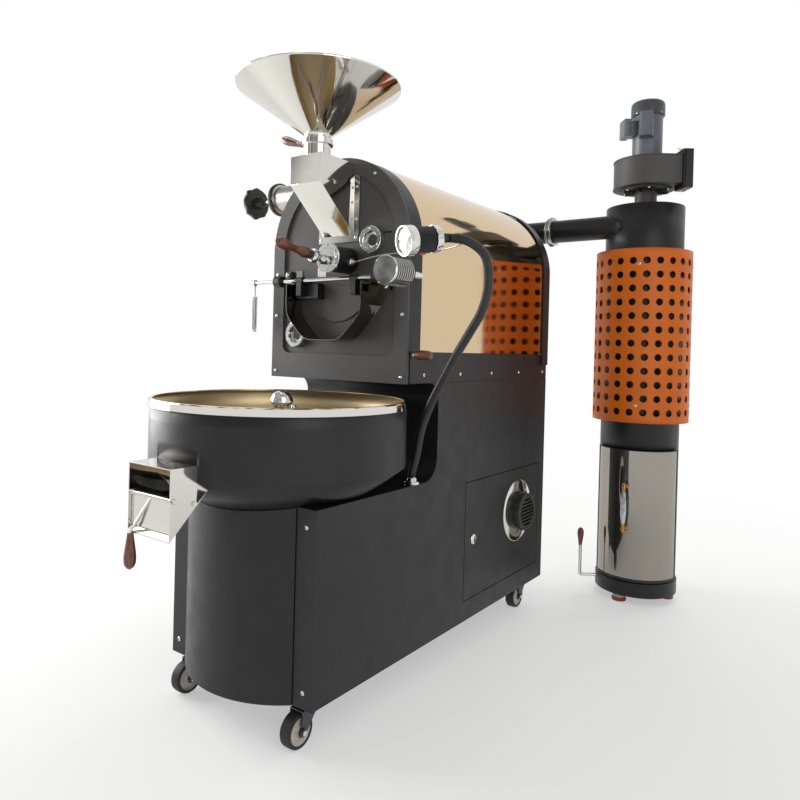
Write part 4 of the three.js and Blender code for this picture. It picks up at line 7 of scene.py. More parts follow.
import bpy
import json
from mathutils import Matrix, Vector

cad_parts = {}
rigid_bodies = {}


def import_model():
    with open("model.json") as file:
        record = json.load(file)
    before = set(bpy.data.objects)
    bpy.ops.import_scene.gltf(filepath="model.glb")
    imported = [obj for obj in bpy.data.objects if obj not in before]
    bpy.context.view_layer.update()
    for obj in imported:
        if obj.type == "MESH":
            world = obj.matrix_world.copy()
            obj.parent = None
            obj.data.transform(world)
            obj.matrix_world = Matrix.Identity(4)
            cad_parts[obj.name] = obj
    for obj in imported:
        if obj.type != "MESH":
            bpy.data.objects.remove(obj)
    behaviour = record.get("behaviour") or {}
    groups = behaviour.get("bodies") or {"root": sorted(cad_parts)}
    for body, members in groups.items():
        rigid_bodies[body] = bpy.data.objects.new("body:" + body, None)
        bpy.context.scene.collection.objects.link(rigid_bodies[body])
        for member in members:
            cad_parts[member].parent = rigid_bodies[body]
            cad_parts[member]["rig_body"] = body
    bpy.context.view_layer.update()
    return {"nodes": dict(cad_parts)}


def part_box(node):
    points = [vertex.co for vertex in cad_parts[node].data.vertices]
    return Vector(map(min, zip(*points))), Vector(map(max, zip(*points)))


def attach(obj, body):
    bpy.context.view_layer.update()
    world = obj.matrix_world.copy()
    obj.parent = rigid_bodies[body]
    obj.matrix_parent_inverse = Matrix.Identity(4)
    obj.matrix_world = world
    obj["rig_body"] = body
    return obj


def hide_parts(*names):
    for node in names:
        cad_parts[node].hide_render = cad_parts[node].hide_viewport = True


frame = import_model()

# %% [markdown]
# ## Working in the workshop's own millimetres
# The real machine is drawn in millimetres from the middle of the cabinet's front edge, with the
# floor at zero. The frame's origin lies elsewhere, so one function moves whole arrays of points.
# Every bare number in a profile or an outline below is a measure in that drawing, in millimetres.

# %% Millimetres to the frame
import json
from math import cos, pi, radians, sin, tau

import bmesh
import bpy
import numpy as np
from mathutils import Matrix, Vector
from mathutils.geometry import tessellate_polygon

MM = 0.001
cabinet_low, cabinet_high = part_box("cabinet")
CABINET_DEPTH = 1212
ORIGIN = np.array([(cabinet_low[0] + cabinet_high[0]) / 2, cabinet_high[1] - CABINET_DEPTH * MM, 0.0])


def to_frame(points):
    """Frame metres = millimetres / 1000 + the place of the drawing's zero."""
    return np.asarray(points, float) * MM + ORIGIN


def srgb(code):
    """Each channel c of a hex colour becomes ((c + 0.055) / 1.055) ** 2.4, or c / 12.92 when dark."""
    c = np.array([int(code[i:i + 2], 16) for i in (1, 3, 5)]) / 255
    return (*np.where(c <= 0.04045, c / 12.92, ((c + 0.055) / 1.055) ** 2.4), 1.0)


# Axes that several cells share: (x, y) for "z", (x, z) for "y" and (y, z) for "x".
HOPPER_AT, TRAY_AT, CYCLONE_AT = (0, 240), (0, 130), (488, 1530)
SHAFT_AT, LEVER_AT, WEIGHT_AT = (290, 1084), (-286, 290), (290, 1084)
DAMPER_AT, KNOB_AT, SAMPLER_AT = (420, 1360), (352, 884), (37, 1137)
VENT_AT, LOCK_AT = (1003, 367), (705, 331.5)
# The height of the chamber arch's centre, and y of the sunk field in the front plate.
ARCH_CENTRE, FIELD_FACE = 1177, 336.7
print("the drawing's zero lies at", ORIGIN.round(4))

# %% [markdown]
# ## Finishes
# Nearly everything here is sheet metal: black powder coat, mirror-polished stainless steel and
# bright turned parts. Each finish starts from a plain shader and gets the small unevenness of
# the real process through noise on object coordinates, sized in millimetres.

# %% A helper that adds a node
def add(tree, kind, settings=None, **inputs):
    """Adds one node: settings are its attributes, inputs its sockets with a value or another socket.

    A socket is named with underscores for spaces, or by its number, as in i6."""
    made = tree.nodes.new(kind)
    for key, value in (settings or {}).items():
        setattr(made, key, value)
    for key, value in inputs.items():
        socket = made.inputs[int(key[1:]) if key[1:].isdigit() else key.replace("_", " ")]
        if isinstance(value, bpy.types.NodeSocket):
            tree.links.new(value, socket)
        else:
            socket.default_value = value
    return made


def lumps(tree, size_mm, detail, stretch=(1, 1, 1)):
    """An uneven pattern in object space: lumps size_mm wide, drawn out where the stretch is below 1."""
    place = add(tree, "ShaderNodeTexCoord").outputs["Object"]
    drawn_out = add(tree, "ShaderNodeMapping", Vector=place, Scale=stretch).outputs[0]
    return add(tree, "ShaderNodeTexNoise", Vector=drawn_out, Scale=1 / (size_mm * MM),
               Detail=detail).outputs["Fac"]


def between(tree, pattern, low, high):
    """The pattern's busy middle, 0.3 to 0.7, spread over two numbers or two hex colours."""
    colours = isinstance(low, str)
    ends = {} if colours else {"To_Min": low, "To_Max": high}
    share = add(tree, "ShaderNodeMapRange", Value=pattern, From_Min=0.3, From_Max=0.7, **ends).outputs[0]
    if not colours:
        return share
    return add(tree, "ShaderNodeMix", {"data_type": "RGBA"}, i0=share, i6=srgb(low),
               i7=srgb(high)).outputs[2]


def coat(name, slot, relief, patterns, **values):
    """A material from one principled shader.

    Values go straight on its sockets. A pattern is (socket, lumps, low, high). The relief is (lumps,
    depth in mm, strength), and lumps are what the function of that name takes."""
    material = bpy.data.materials.new(name)
    material.use_nodes = True
    material["slot"] = slot
    tree = material.node_tree
    shader = tree.nodes["Principled BSDF"]
    for key, value in values.items():
        shader.inputs[key.replace("_", " ")].default_value = value
    for socket, grain, low, high in patterns:
        tree.links.new(between(tree, lumps(tree, *grain), low, high), shader.inputs[socket])
    grain, depth_mm, strength = relief
    bump = add(tree, "ShaderNodeBump", Strength=strength, Distance=depth_mm * MM,
               Height=lumps(tree, *grain))
    tree.links.new(bump.outputs[0], shader.inputs["Normal"])
    return material


# %% [markdown]
# Powder coat is sprayed as dry powder and baked, so it flows into an even skin with a fine
# orange peel about 2 mm across. It scatters light widely. Handling leaves clouds a hand wide, a
# little paler and duller, and without them a large black sheet looks like plastic.

# %% Powder coats
def powder_coat(name, slot, dark, light, roughness):
    return coat(name, slot, ((2.2, 2.0), 0.12, 0.55),
                [("Base Color", (160, 4.0), dark, light),
                 ("Roughness", (60, 5.0), roughness - 0.06, roughness + 0.08)], Roughness=roughness,
                Specular_IOR_Level=0.4)


# Deep black with a soft, wide sheen, on the cabinet, the tray and the barrel.
BLACK_POWDER = powder_coat("black powder coat", "black_powder_coat", "#151516", "#1c1c1e", 0.38)
# The same coat with more matting agent, on the front plate and the fan's housing. Part of its grey
# is painted sheen: the base colour is lifted to stand for the highlights where light grazes it.
PLATE_POWDER_PAINTED_SHEEN = powder_coat("grey black powder coat with painted sheen", "black_powder_coat", "#434240", "#4f4d4a", 0.5)
# A saturated orange that warns of heat, on the guard alone.
ORANGE_POWDER = powder_coat("orange powder coat", "orange_powder_coat", "#cf6206", "#d96c0a", 0.44)

# %% [markdown]
# Mirror-polished stainless sheet is nearly smooth, but it is never flat: rolling leaves long
# waves of a few tenths of a millimetre, and these bend every reflection. Ground metal has
# scratches along the belt's way instead, here 1.4 mm apart: the real ones are too fine to show.

# %% Polished and brushed metals
def polished(name, slot, tint, roughness, wave_mm, depth_mm):
    return coat(name, slot, ((wave_mm, 1.0), depth_mm, 1.0),
                [("Roughness", (40, 6.0), roughness * 0.7, roughness * 1.5)], Metallic=1.0,
                Base_Color=srgb(tint), Roughness=roughness)


def brushed(name, slot, tint, roughness, stretch):
    lines = (1.4, 4.0, stretch)
    return coat(name, slot, (lines, 0.03, 0.5), [("Roughness", lines, roughness - 0.07, roughness + 0.1)],
                Metallic=1.0, Base_Color=srgb(tint), Roughness=roughness)


# Stainless steel tinted by heat and light: a warm mirror, the machine's brightest field.
GOLD_MIRROR = polished("gold tinted mirror steel", "polished_steel", "#d8bf9a", 0.06, 300, 0.3)
# Polished stainless steel: near white, with soft long waves in what it shows.
MIRROR_STEEL = polished("mirror polished steel", "polished_steel", "#d6d3cc", 0.07, 180, 0.25)
# The same steel with a smoky tint, on hatch and trough.
DARK_MIRROR = polished("mirror polished hatch steel", "polished_steel", "#98938b", 0.06, 120, 0.3)
# Turned steel with chrome: small hard highlights on rings, rods and screws.
BRIGHT_CHROME = polished("bright turned chrome", "polished_steel", "#dcdcda", 0.12, 30, 0.02)
# Ground stainless steel: highlights drawn out across the scratches.
SATIN_STEEL = brushed("satin stainless steel", "brushed_steel", "#bdbab4", 0.28, (1, 1, 0.03))
# Bead-blasted steel with a champagne tint, dull enough that the tray's inside glows.
CHAMPAGNE = brushed("champagne tray steel", "champagne_steel", "#dcc79e", 0.42, (1, 1, 0.2))
# Zinc plating, bluish and cloudy, and its black passivated kind.
ZINC = brushed("zinc plated steel", "brushed_steel", "#8f9091", 0.38, (1, 1, 1))
DARK_ZINC = brushed("black zinc fork steel", "brushed_steel", "#55565a", 0.42, (1, 1, 1))
# Brass that handling has browned, on the ends of the hatch's pull.
BRASS = polished("aged brass", "polished_steel", "#b58a4a", 0.22, 30, 0.03)

# %% [markdown]
# The handles are turned from a dark reddish hardwood and varnished. Grain lines run along the
# handle, 1 to 2 mm apart, under a clear coat that gives a sharp highlight.

# %% Wood, plastics, rubber, glass
def varnished_wood(name, stretch):
    lines = (2.6, 6.0, stretch)
    return coat(name, "turned_wood", (lines, 0.06, 0.5), [("Base Color", lines, "#45251a", "#80492f")],
                Roughness=0.34, Coat_Weight=0.45, Coat_Roughness=0.18)


def moulded(name, slot, dark, light, roughness, grain_mm=1.2):
    """Plastic, rubber, enamel or cast metal: one even skin that keeps the fine grain of its mould."""
    return coat(name, slot, ((grain_mm, 2.0), 0.05, 0.4), [("Base Color", (25, 4.0), dark, light)],
                Roughness=roughness)


WOOD_ALONG_X = varnished_wood("varnished wood sideways", (0.12, 1, 1))
WOOD_ALONG_Y = varnished_wood("varnished wood along the trier", (1, 0.12, 1))
WOOD_ALONG_Z = varnished_wood("varnished wood upright", (1, 1, 0.12))
# Phenolic resin: black with a clean satin gloss, on handwheel, lamp, arms and vent.
BLACK_PLASTIC = moulded("black moulded plastic", "black_plastic", "#141414", "#1c1c1c", 0.34)
# PVC over a steel spiral: a shade greyer and duller than the resin.
HOSE_PLASTIC = moulded("black gooseneck sleeve", "black_plastic", "#1a1a1b", "#242425", 0.42, 2.0)
# Stove enamel on cast motor shells: blue grey and half glossy, darker on the cap.
MOTOR_ENAMEL = moulded("grey motor enamel", "grey_enamel", "#5b6066", "#686d73", 0.36, 2.0)
CAP_ENAMEL = moulded("dark grey cap enamel", "grey_enamel", "#3d3f42", "#47494c", 0.4, 2.0)
# Glossy red resin, a small warm dot under the lamp.
RED_PLASTIC = moulded("red switch plastic", "red_plastic", "#b5231a", "#c52c20", 0.25)
# Unpigmented nylon, creamy and soft.
WHEEL_PLASTIC = moulded("grey castor nylon", "tyre_grey", "#b9b1a5", "#cbc4b8", 0.45)
# Rubber: dark and nearly without gloss, black on wheels and seals, orange under the cyclone.
TYRE_RUBBER = moulded("dark castor rubber", "tyre_grey", "#161617", "#232324", 0.6)
ORANGE_RUBBER = moulded("orange foot rubber", "tyre_grey", "#8f3a12", "#a8481a", 0.6)
# Real seals, and also painted shade in a slot and in holes that are not cut: the lock's key slot and the
# tray floor's perforations.
SEAL_RUBBER_AND_HOLE_SHADE = moulded("black seal rubber and painted hole shade", "black_plastic", "#0e0e0e", "#161616", 0.5)
# Sand-cast iron that oil has blackened: rough, with a 3 mm grain.
CAST_IRON = moulded("blackened cast iron", "cast_iron", "#232323", "#303030", 0.62, 3.0)
# Fired glaze: wet gloss over a white body with grey clouds.
GLAZE = moulded("white speckled glaze", "grey_enamel", "#7f8792", "#f2f3f5", 0.12, 3.0)
# Float glass: it lets light through, so only its edge and its gloss are seen.
CLEAR_GLASS = coat("clear sight glass", "sight_glass", ((12, 1.0), 0.01, 0.5), [],
                   Transmission_Weight=1.0, Roughness=0.03, IOR=1.5, Base_Color=srgb("#eef4f2"))
print("materials:", len(bpy.data.materials))

# %% [markdown]
# ## Shapes from two parameters
# Four kinds of surface make almost the whole machine: a profile turned round an axis, a flat
# outline pushed along an axis, a section carried along a path, and a sheet with holes.

# %% Surface helpers
AXES = {"x": (1, 2, 0), "y": (0, 2, 1), "z": (0, 1, 2)}


def spread(a, b, c, axis):
    """Puts the two cross coordinates a, b and the axial one c in x, y, z order."""
    points = np.empty((*np.broadcast(a, b, c).shape, 3))
    for place, value in zip(AXES[axis], (a, b, c)):
        points[..., place] = value
    return points


def grid_shell(points, around=True, looped=False, capped=False):
    """Point (i, j) of an (n, m, 3) array is joined to (i + 1, j) and (i, j + 1) by one quad."""
    n, m = points.shape[:2]
    i, j = np.meshgrid(np.arange(n if looped else n - 1), np.arange(m if around else m - 1),
                       indexing="ij")
    corners = [(i, j), (i, (j + 1) % m), ((i + 1) % n, (j + 1) % m), ((i + 1) % n, j)]
    faces = np.stack([a * m + b for a, b in corners], -1).reshape(-1, 4).tolist()
    if capped:
        faces += [list(range(m))[::-1], list(range((n - 1) * m, n * m))]
    return points.reshape(-1, 3), faces


def lathe(profile, axis="z", centre=(0, 0), ring=False, sides=96):
    """Point (i, j) = centre + radius_i (cos t_j, sin t_j), at place_i along the axis.

    The last column lies on the first, and the two merge when the piece is made."""
    profile = np.asarray(profile, float)
    turn = np.radians(np.linspace(0, 360, sides))
    a = centre[0] + np.outer(profile[:, 0], np.cos(turn))
    b = centre[1] + np.outer(profile[:, 0], np.sin(turn))
    return grid_shell(spread(a, b, profile[:, 1:2], axis), looped=ring)


def counted_from(start, profile, way=1):
    """A profile whose places are counted from a start: place = start + way step."""
    return [(radius, start + way * step) for radius, step in profile]


def bar(radius, low, high, axis, centre=(0, 0), sides=96):
    """A solid cylinder."""
    return lathe([(0, low), (radius, low), (radius, high), (0, high)], axis, centre, sides=sides)


def pipe(inner, outer, low, high, axis, centre=(0, 0), sides=96):
    """A cylinder with a bore."""
    return lathe([(inner, low), (outer, low), (outer, high), (inner, high)], axis, centre, ring=True,
                 sides=sides)


def fluted(centre, widths, places):
    """Rings round an x axis: each (place, share) gives the radii share widths_j at turn j."""
    t = tau * np.arange(len(widths)) / len(widths)
    return np.stack([spread(centre[0] + share * widths * np.cos(t),
                            centre[1] + share * widths * np.sin(t), place, "x")
                     for place, share in places])


def windowed(points, inside):
    """A shell of the grid without the faces whose middle (x, y, z) lies inside a window."""
    verts, faces = grid_shell(points)
    middles = np.array([verts[face].mean(0) for face in faces])
    return verts, [face for face, gone in zip(faces, inside(*middles.T)) if not gone]


def rect(a0, a1, b0, b1):
    """The four corners of a rectangle."""
    return [(a0, b0), (a1, b0), (a1, b1), (a0, b1)]


def rounded(outline, radius, steps=4):
    """Each corner of a closed outline becomes a curve through (1-t)^2 p + 2t(1-t) c + t^2 q."""
    outline = np.asarray(outline, float)
    before, after = np.roll(outline, 1, 0), np.roll(outline, -1, 0)
    p = outline + (before - outline) * (radius / np.linalg.norm(before - outline, axis=1))[:, None]
    q = outline + (after - outline) * (radius / np.linalg.norm(after - outline, axis=1))[:, None]
    t = np.linspace(0, 1, steps + 1)[None, :, None]
    curve = (1 - t) ** 2 * p[:, None] + 2 * t * (1 - t) * outline[:, None] + t ** 2 * q[:, None]
    return curve.reshape(-1, 2)


def push(outline, axis, low, high):
    """The outline at low and at high along the axis, walled and capped."""
    o = np.asarray(outline, float)
    ends = np.stack([spread(o[:, 0], o[:, 1], place, axis) for place in (low, high)])
    return grid_shell(ends, capped=True)


def block(x0, x1, y0, y1, z0, z1):
    """A box between two corners."""
    return push(rect(x0, x1, y0, y1), "z", z0, z1)


def sheet(outline, holes, axis, low, high):
    """A flat sheet: its two faces are cut into triangles round the holes, and each loop is walled."""
    loops = [np.asarray(loop, float) for loop in (outline, *holes)]
    flat = np.vstack(loops)
    triangles = tessellate_polygon([[Vector((*p, 0)) for p in loop] for loop in loops])
    count = len(flat)
    points = np.vstack([spread(flat[:, 0], flat[:, 1], place, axis) for place in (low, high)])
    faces = [list(t) for t in triangles] + [[k + count for k in reversed(t)] for t in triangles]
    first = 0
    for loop in loops:
        k = np.arange(len(loop))
        a, b = first + k, first + (k + 1) % len(loop)
        faces += np.stack([a, b, b + count, a + count], -1).tolist()
        first += len(loop)
    return points, faces


def circle(centre, radius, sides=40, start_at=0.0):
    """(x, y) = centre + radius (cos t, sin t)."""
    t = np.radians(start_at) + tau * np.arange(sides) / sides
    return np.stack([centre[0] + radius * np.cos(t), centre[1] + radius * np.sin(t)], 1)


def tube(path, radius, sides=20, capped=True, guide=(0.13, 0.21, 0.97)):
    """Rings of the given radius square to the path, turned about a guide direction."""
    path = np.asarray(path, float)
    along = np.gradient(path, axis=0)
    along /= np.linalg.norm(along, axis=1)[:, None]
    side = np.cross(along, guide)
    side /= np.linalg.norm(side, axis=1)[:, None]
    up = np.cross(side, along)
    t = tau * np.arange(sides) / sides
    wide = np.broadcast_to(np.asarray(radius, float), (len(path),))[:, None, None]
    spokes = np.cos(t)[None, :, None] * side[:, None] + np.sin(t)[None, :, None] * up[:, None]
    return grid_shell(path[:, None] + wide * spokes, capped=capped)


def spline(points, steps=14):
    """A smooth curve through the points: the cubic whose slope at each is half its neighbours' step."""
    p = np.asarray(points, float)
    p = np.vstack([2 * p[0] - p[1], p, 2 * p[-1] - p[-2]])
    t = np.linspace(0, 1, steps, endpoint=False)[None, :, None]
    a, b, c, d = (p[k:len(p) - 3 + k][:, None] for k in range(4))
    square, cube = 2 * a - 5 * b + 4 * c - d, 3 * b - a - 3 * c + d
    curve = 0.5 * (2 * b + (c - a) * t + square * t ** 2 + cube * t ** 3)
    return np.vstack([curve.reshape(-1, 3), p[-2]])


def moved(shell, by=(0, 0, 0), turn=0.0, axis="Z", about=(0, 0, 0)):
    """Turns a shell about a line through a point, then shifts it."""
    spin = np.array(Matrix.Rotation(radians(turn), 3, axis if isinstance(axis, str) else Vector(axis)))
    return (np.asarray(shell[0]) - about) @ spin.T + about + by, shell[1]


# %% A helper that makes a piece
def piece(name, shells, finish, *nodes, body="machine", bevel=0.0, smooth=32, wall=0.0):
    """Joins shells into one mesh, faces out, bevels its sharp edges and lets it ride on its body."""
    shells = shells if isinstance(shells, list) else [shells]
    starts = np.cumsum([0] + [len(points) for points, _ in shells])
    faces = [[k + first for k in face] for (_, own), first in zip(shells, starts) for face in own]
    mesh = bpy.data.meshes.new(name)
    mesh.from_pydata(to_frame(np.vstack([points for points, _ in shells])).tolist(), [], faces)
    edit = bmesh.new()
    edit.from_mesh(mesh)
    bmesh.ops.remove_doubles(edit, verts=edit.verts, dist=2e-6)
    bmesh.ops.dissolve_degenerate(edit, dist=1e-6, edges=edit.edges)
    bmesh.ops.recalc_face_normals(edit, faces=edit.faces)
    edit.to_mesh(mesh)
    edit.free()
    return dress(bpy.data.objects.new(name, mesh), finish, body, nodes, bevel, smooth, wall)


def dress(made, finish, body, nodes, bevel, smooth, wall=0.0):
    """Gives a mesh its finish, wall, bevel, shading, body and the nodes it stands for."""
    bpy.context.scene.collection.objects.link(made)
    made.data.materials.clear()
    made.data.materials.append(finish)
    made.data.shade_smooth()
    made.data.set_sharp_from_angle(angle=radians(smooth))
    if wall:
        skin = made.modifiers.new("wall", "SOLIDIFY")
        skin.thickness, skin.offset = wall * MM, -1.0
    if bevel:
        edge = made.modifiers.new("edge", "BEVEL")
        edge.width, edge.segments = bevel * MM, 2
        edge.limit_method, edge.angle_limit = "ANGLE", radians(34)
    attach(made, body)
    if nodes:
        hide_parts(*nodes)
    return made


def refined(node, finish, bevel=0.8, smooth=32):
    """A merged copy of a flat-sided node, its coplanar triangles made one face, with soft edges."""
    source = frame["nodes"][node]
    mesh = source.data.copy()
    edit = bmesh.new()
    edit.from_mesh(mesh)
    bmesh.ops.remove_doubles(edit, verts=edit.verts, dist=1e-5)
    bmesh.ops.dissolve_limit(edit, angle_limit=radians(0.5), verts=edit.verts, edges=edit.edges)
    edit.to_mesh(mesh)
    edit.free()
    made = bpy.data.objects.new(node + "_sheet", mesh)
    return dress(made, finish, source["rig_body"], [node], bevel, smooth)


def spots_round(centre, radius, angles, face):
    """Places (centre + radius (cos a, sin a), face), one for each angle."""
    return [(centre[0] + radius * cos(a), centre[1] + radius * sin(a), face) for a in angles]


def screw_heads(places, axis, out, radius=5.0, height=2.6, sides=20):
    """Button heads: a low dome with a key socket, at each (a, b, face) place."""
    shells = []
    for a, b, face in places:
        dome = [(0, 0), (radius, 0), (radius, 0.45), (radius * 0.82, 0.85), (radius * 0.5, 1)]
        socket = [(radius * 0.5, 1), (radius * 0.46, 1), (radius * 0.46, 0.3), (0, 0.3)]
        shells += [lathe(counted_from(face, line, out * height), axis, (a, b), sides=count)
                   for line, count in ((dome, sides), (socket, 6))]
    return shells


# %% [markdown]
# ## Camera, light and floor
# The picture was taken from the right of the tray at about eye height of a seated person, with
# a lens of about 31 mm. Its place and tilt come from the machine's own right angles.

# %% Camera
azimuth, pitch, roll = radians(36.565), radians(0.323), radians(1.511)
forward = np.array([-sin(azimuth) * cos(pitch), cos(azimuth) * cos(pitch), -sin(pitch)])
level = np.array([cos(azimuth), sin(azimuth), 0.0])
upward = np.cross(level, forward)
view = Matrix([*zip(cos(roll) * level + sin(roll) * upward, cos(roll) * upward - sin(roll) * level,
                    -forward)])
lens = bpy.data.cameras.new("picture camera")
lens.lens, lens.sensor_width = 30.66, 36.0
lens.shift_x, lens.shift_y = 0.0172, -0.0599
lens.clip_start, lens.clip_end = 0.05, 200.0
camera = bpy.data.objects.new("picture camera", lens)
camera.matrix_world = Matrix.Translation(to_frame((1247.2, -1109.1, 900))) @ view.to_4x4()
bpy.context.scene.collection.objects.link(camera)
bpy.context.scene.camera = camera

# %% [markdown]
# Soft light from a studio: a large box on the machine's left, where no flat mirror at the front
# shows it to the camera, a weak one on the right and one behind. The white of the background is
# what the camera, the glass and the metal see of the far half of the world. The near half, behind
# the camera, is a dim room with bright openings, and only the metal sees it, as streaks.

# %% Lights and world
def softbox(name, place, target, size, watts, mirrored=True):
    light = bpy.data.lights.new(name, "AREA")
    light.shape, light.size, light.size_y, light.energy = "RECTANGLE", *size, watts
    lamp = bpy.data.objects.new(name, light)
    lamp.location = to_frame(place)
    lamp.rotation_euler = Vector(to_frame(target) - to_frame(place)).to_track_quat("-Z", "Y").to_euler()
    lamp.visible_glossy = mirrored
    bpy.context.scene.collection.objects.link(lamp)


softbox("key softbox", (-3000, -500, 1500), (60, 500, 900), (2.4, 2.4), 125)
softbox("fill softbox", (2600, -900, 1900), (200, 700, 800), (2.0, 2.4), 20)
softbox("rear softbox", (500, 3300, 2600), (200, 900, 900), (2.6, 1.6), 45, False)


def seen_by(tree, *rays):
    """The light path node and the share 1 for the camera's rays and the other rays named."""
    path = add(tree, "ShaderNodeLightPath").outputs
    share = path["Is Camera Ray"]
    for ray in rays:
        share = add(tree, "ShaderNodeMath", {"operation": "MAXIMUM"}, i0=share, i1=path[ray]).outputs[0]
    return path, share


FLOAT = {"data_type": "FLOAT"}
world = bpy.data.worlds.new("white studio")
world.use_nodes = True
bpy.context.scene.world = world
tree = world.node_tree
path, seen = seen_by(tree, "Is Transmission Ray")
direction = add(tree, "ShaderNodeTexCoord").outputs["Generated"]
drawn = add(tree, "ShaderNodeMapping", Vector=direction, Scale=(5.5, 5.5, 0.8)).outputs[0]
streaks = add(tree, "ShaderNodeTexNoise", Vector=drawn, Scale=1.7).outputs["Fac"]
room = add(tree, "ShaderNodeMapRange", Value=streaks, From_Min=0.42, From_Max=0.6, To_Min=0.06,
           To_Max=0.95)
depth = add(tree, "ShaderNodeSeparateXYZ", Vector=direction).outputs["Y"]
behind = add(tree, "ShaderNodeMapRange", Value=depth, From_Min=0.05, From_Max=0.45)
shade = add(tree, "ShaderNodeMix", FLOAT, i0=behind.outputs[0], i2=room.outputs[0], i3=0.92)
mirrored = add(tree, "ShaderNodeMix", FLOAT, i0=path["Is Glossy Ray"], i2=0.5, i3=shade.outputs[0])
amount = add(tree, "ShaderNodeMix", FLOAT, i0=seen, i2=mirrored.outputs[0], i3=1.0)
tree.links.new(amount.outputs[0], tree.nodes["Background"].inputs["Strength"])
tree.nodes["Background"].inputs["Color"].default_value = (1, 1, 1, 1)

# %% [markdown]
# The floor is a pale matt sheet that keeps the machine's shadow. Away from the machine it glows
# white for the eye and for mirrors, so it has no edge against the background.

# %% Floor
NEAR_M, FAR_M, NEAR_SHARE = 0.9, 3.2, 0.42
floor_material = bpy.data.materials.new("pale studio floor")
floor_material.use_nodes = True
tree = floor_material.node_tree
shader = tree.nodes["Principled BSDF"]
for key, value in (("Base Color", srgb("#f0f0ef")), ("Roughness", 0.9), ("Specular IOR Level", 0.1)):
    shader.inputs[key].default_value = value
path, seen = seen_by(tree, "Is Glossy Ray", "Is Transmission Ray")
place = add(tree, "ShaderNodeTexCoord").outputs["Object"]
distance = add(tree, "ShaderNodeVectorMath", {"operation": "LENGTH"}, i0=place).outputs["Value"]
far = add(tree, "ShaderNodeMapRange", {"interpolation_type": "SMOOTHSTEP"}, Value=distance,
          From_Min=NEAR_M, From_Max=FAR_M, To_Min=NEAR_SHARE, To_Max=1.0)
share = add(tree, "ShaderNodeMath", {"operation": "MULTIPLY"}, i0=seen, i1=far.outputs[0]).outputs[0]
white = add(tree, "ShaderNodeEmission", Color=(1, 1, 1, 1), Strength=1.0)
mix = add(tree, "ShaderNodeMixShader", i0=share, i1=shader.outputs[0], i2=white.outputs[0])
tree.links.new(mix.outputs[0], tree.nodes["Material Output"].inputs["Surface"])
floor_mesh = bpy.data.meshes.new("studio floor")
corners = [(-60, -60, 0), (60, -60, 0), (60, 60, 0), (-60, 60, 0)]
floor_mesh.from_pydata(corners, [], [(0, 1, 2, 3)])
floor_mesh.materials.append(floor_material)
floor = bpy.data.objects.new("studio floor", floor_mesh)
bpy.context.scene.collection.objects.link(floor)
bpy.context.scene.view_settings.view_transform = "Standard"

# %% [markdown]
# ## The inner parts
# Drum, burner, motors and blower are seen only through gaps, so the frame's own solids stay and
# get a finish that fits them.

# %% Finishes of the inner nodes
inner = {"drum": CAST_IRON, "drum_bearing": CAST_IRON, "impeller": CAST_IRON, "burner": ZINC,
         "bulkhead": ZINC, "drum_motor": MOTOR_ENAMEL, "stirrer_motor": MOTOR_ENAMEL,
         "cooling_blower": MOTOR_ENAMEL}
for node, finish in inner.items():
    frame["nodes"][node].data.materials.clear()
    frame["nodes"][node].data.materials.append(finish)

# %% [markdown]
# ## The cabinet
# A folded sheet cabinet with a notch for the tray, a bowed front between two flat strips, and a
# skirt that carries the roasting chamber. The flat sheets are the frame's own shapes with a
# small bend radius at each edge.

# %% Cabinet, skirt and door
refined("cabinet", BLACK_POWDER, 1.6)
refined("housing_base", BLACK_POWDER, 1.6)
door_line = rounded(rect(655.4, 1164.6, 156.4, 506.6), 3)
fold_line = rounded(rect(658.4, 1161.6, 159.4, 503.6), 2)
door = [sheet(door_line, [circle(VENT_AT, 58, 64), circle(LOCK_AT, 9.9, 40)], "x", 243, 246),
        sheet(door_line, [fold_line], "x", 231, 243)]
piece("service_door_pan", door, BLACK_POWDER, "access_door", body="service_door", bevel=1.5)

bow_radius = (190 ** 2 + 80 ** 2) / (2 * 80)
bow_centre = bow_radius - 80
t = np.linspace(-1, 1, 97) * np.arcsin(188 / bow_radius)
bow = np.stack([np.sin(t), -np.cos(t)], 1)
outer = bow * bow_radius + (0, bow_centre)
inner_face = bow * (bow_radius - 3) + (0, bow_centre)
lid = 524 + np.clip(np.hypot(outer[:, 0], outer[:, 1] - 130) - 209.5, 0, None) * 80 / 110 - 0.6
corners = [np.column_stack([outer, np.full(97, 95.0)]), np.column_stack([outer, lid]),
           np.column_stack([inner_face, lid]), np.column_stack([inner_face, np.full(97, 95.0)])]
piece("bowed_front", grid_shell(np.stack(corners, 1), capped=True), BLACK_POWDER, "front_bulge",
      bevel=0.8)

front_screws = [(side * 219, z, -0.05) for side in (-1, 1) for z in (132, 499)]
piece("cabinet_front_screws", screw_heads(front_screws, "y", -1, 5.5), BRIGHT_CHROME)
for side, way in (("right", 1), ("left", -1)):
    side_screws = [(y, 831, way * 246.0) for y in (412, 603, 795, 987, 1178)]
    piece("skirt_screws_" + side, screw_heads(side_screws, "x", way, 5), BRIGHT_CHROME)

# %% [markdown]
# The door has a round vent with a black louvred cup on a bright plate, and a small cam lock
# whose slot a coin or a key turns.

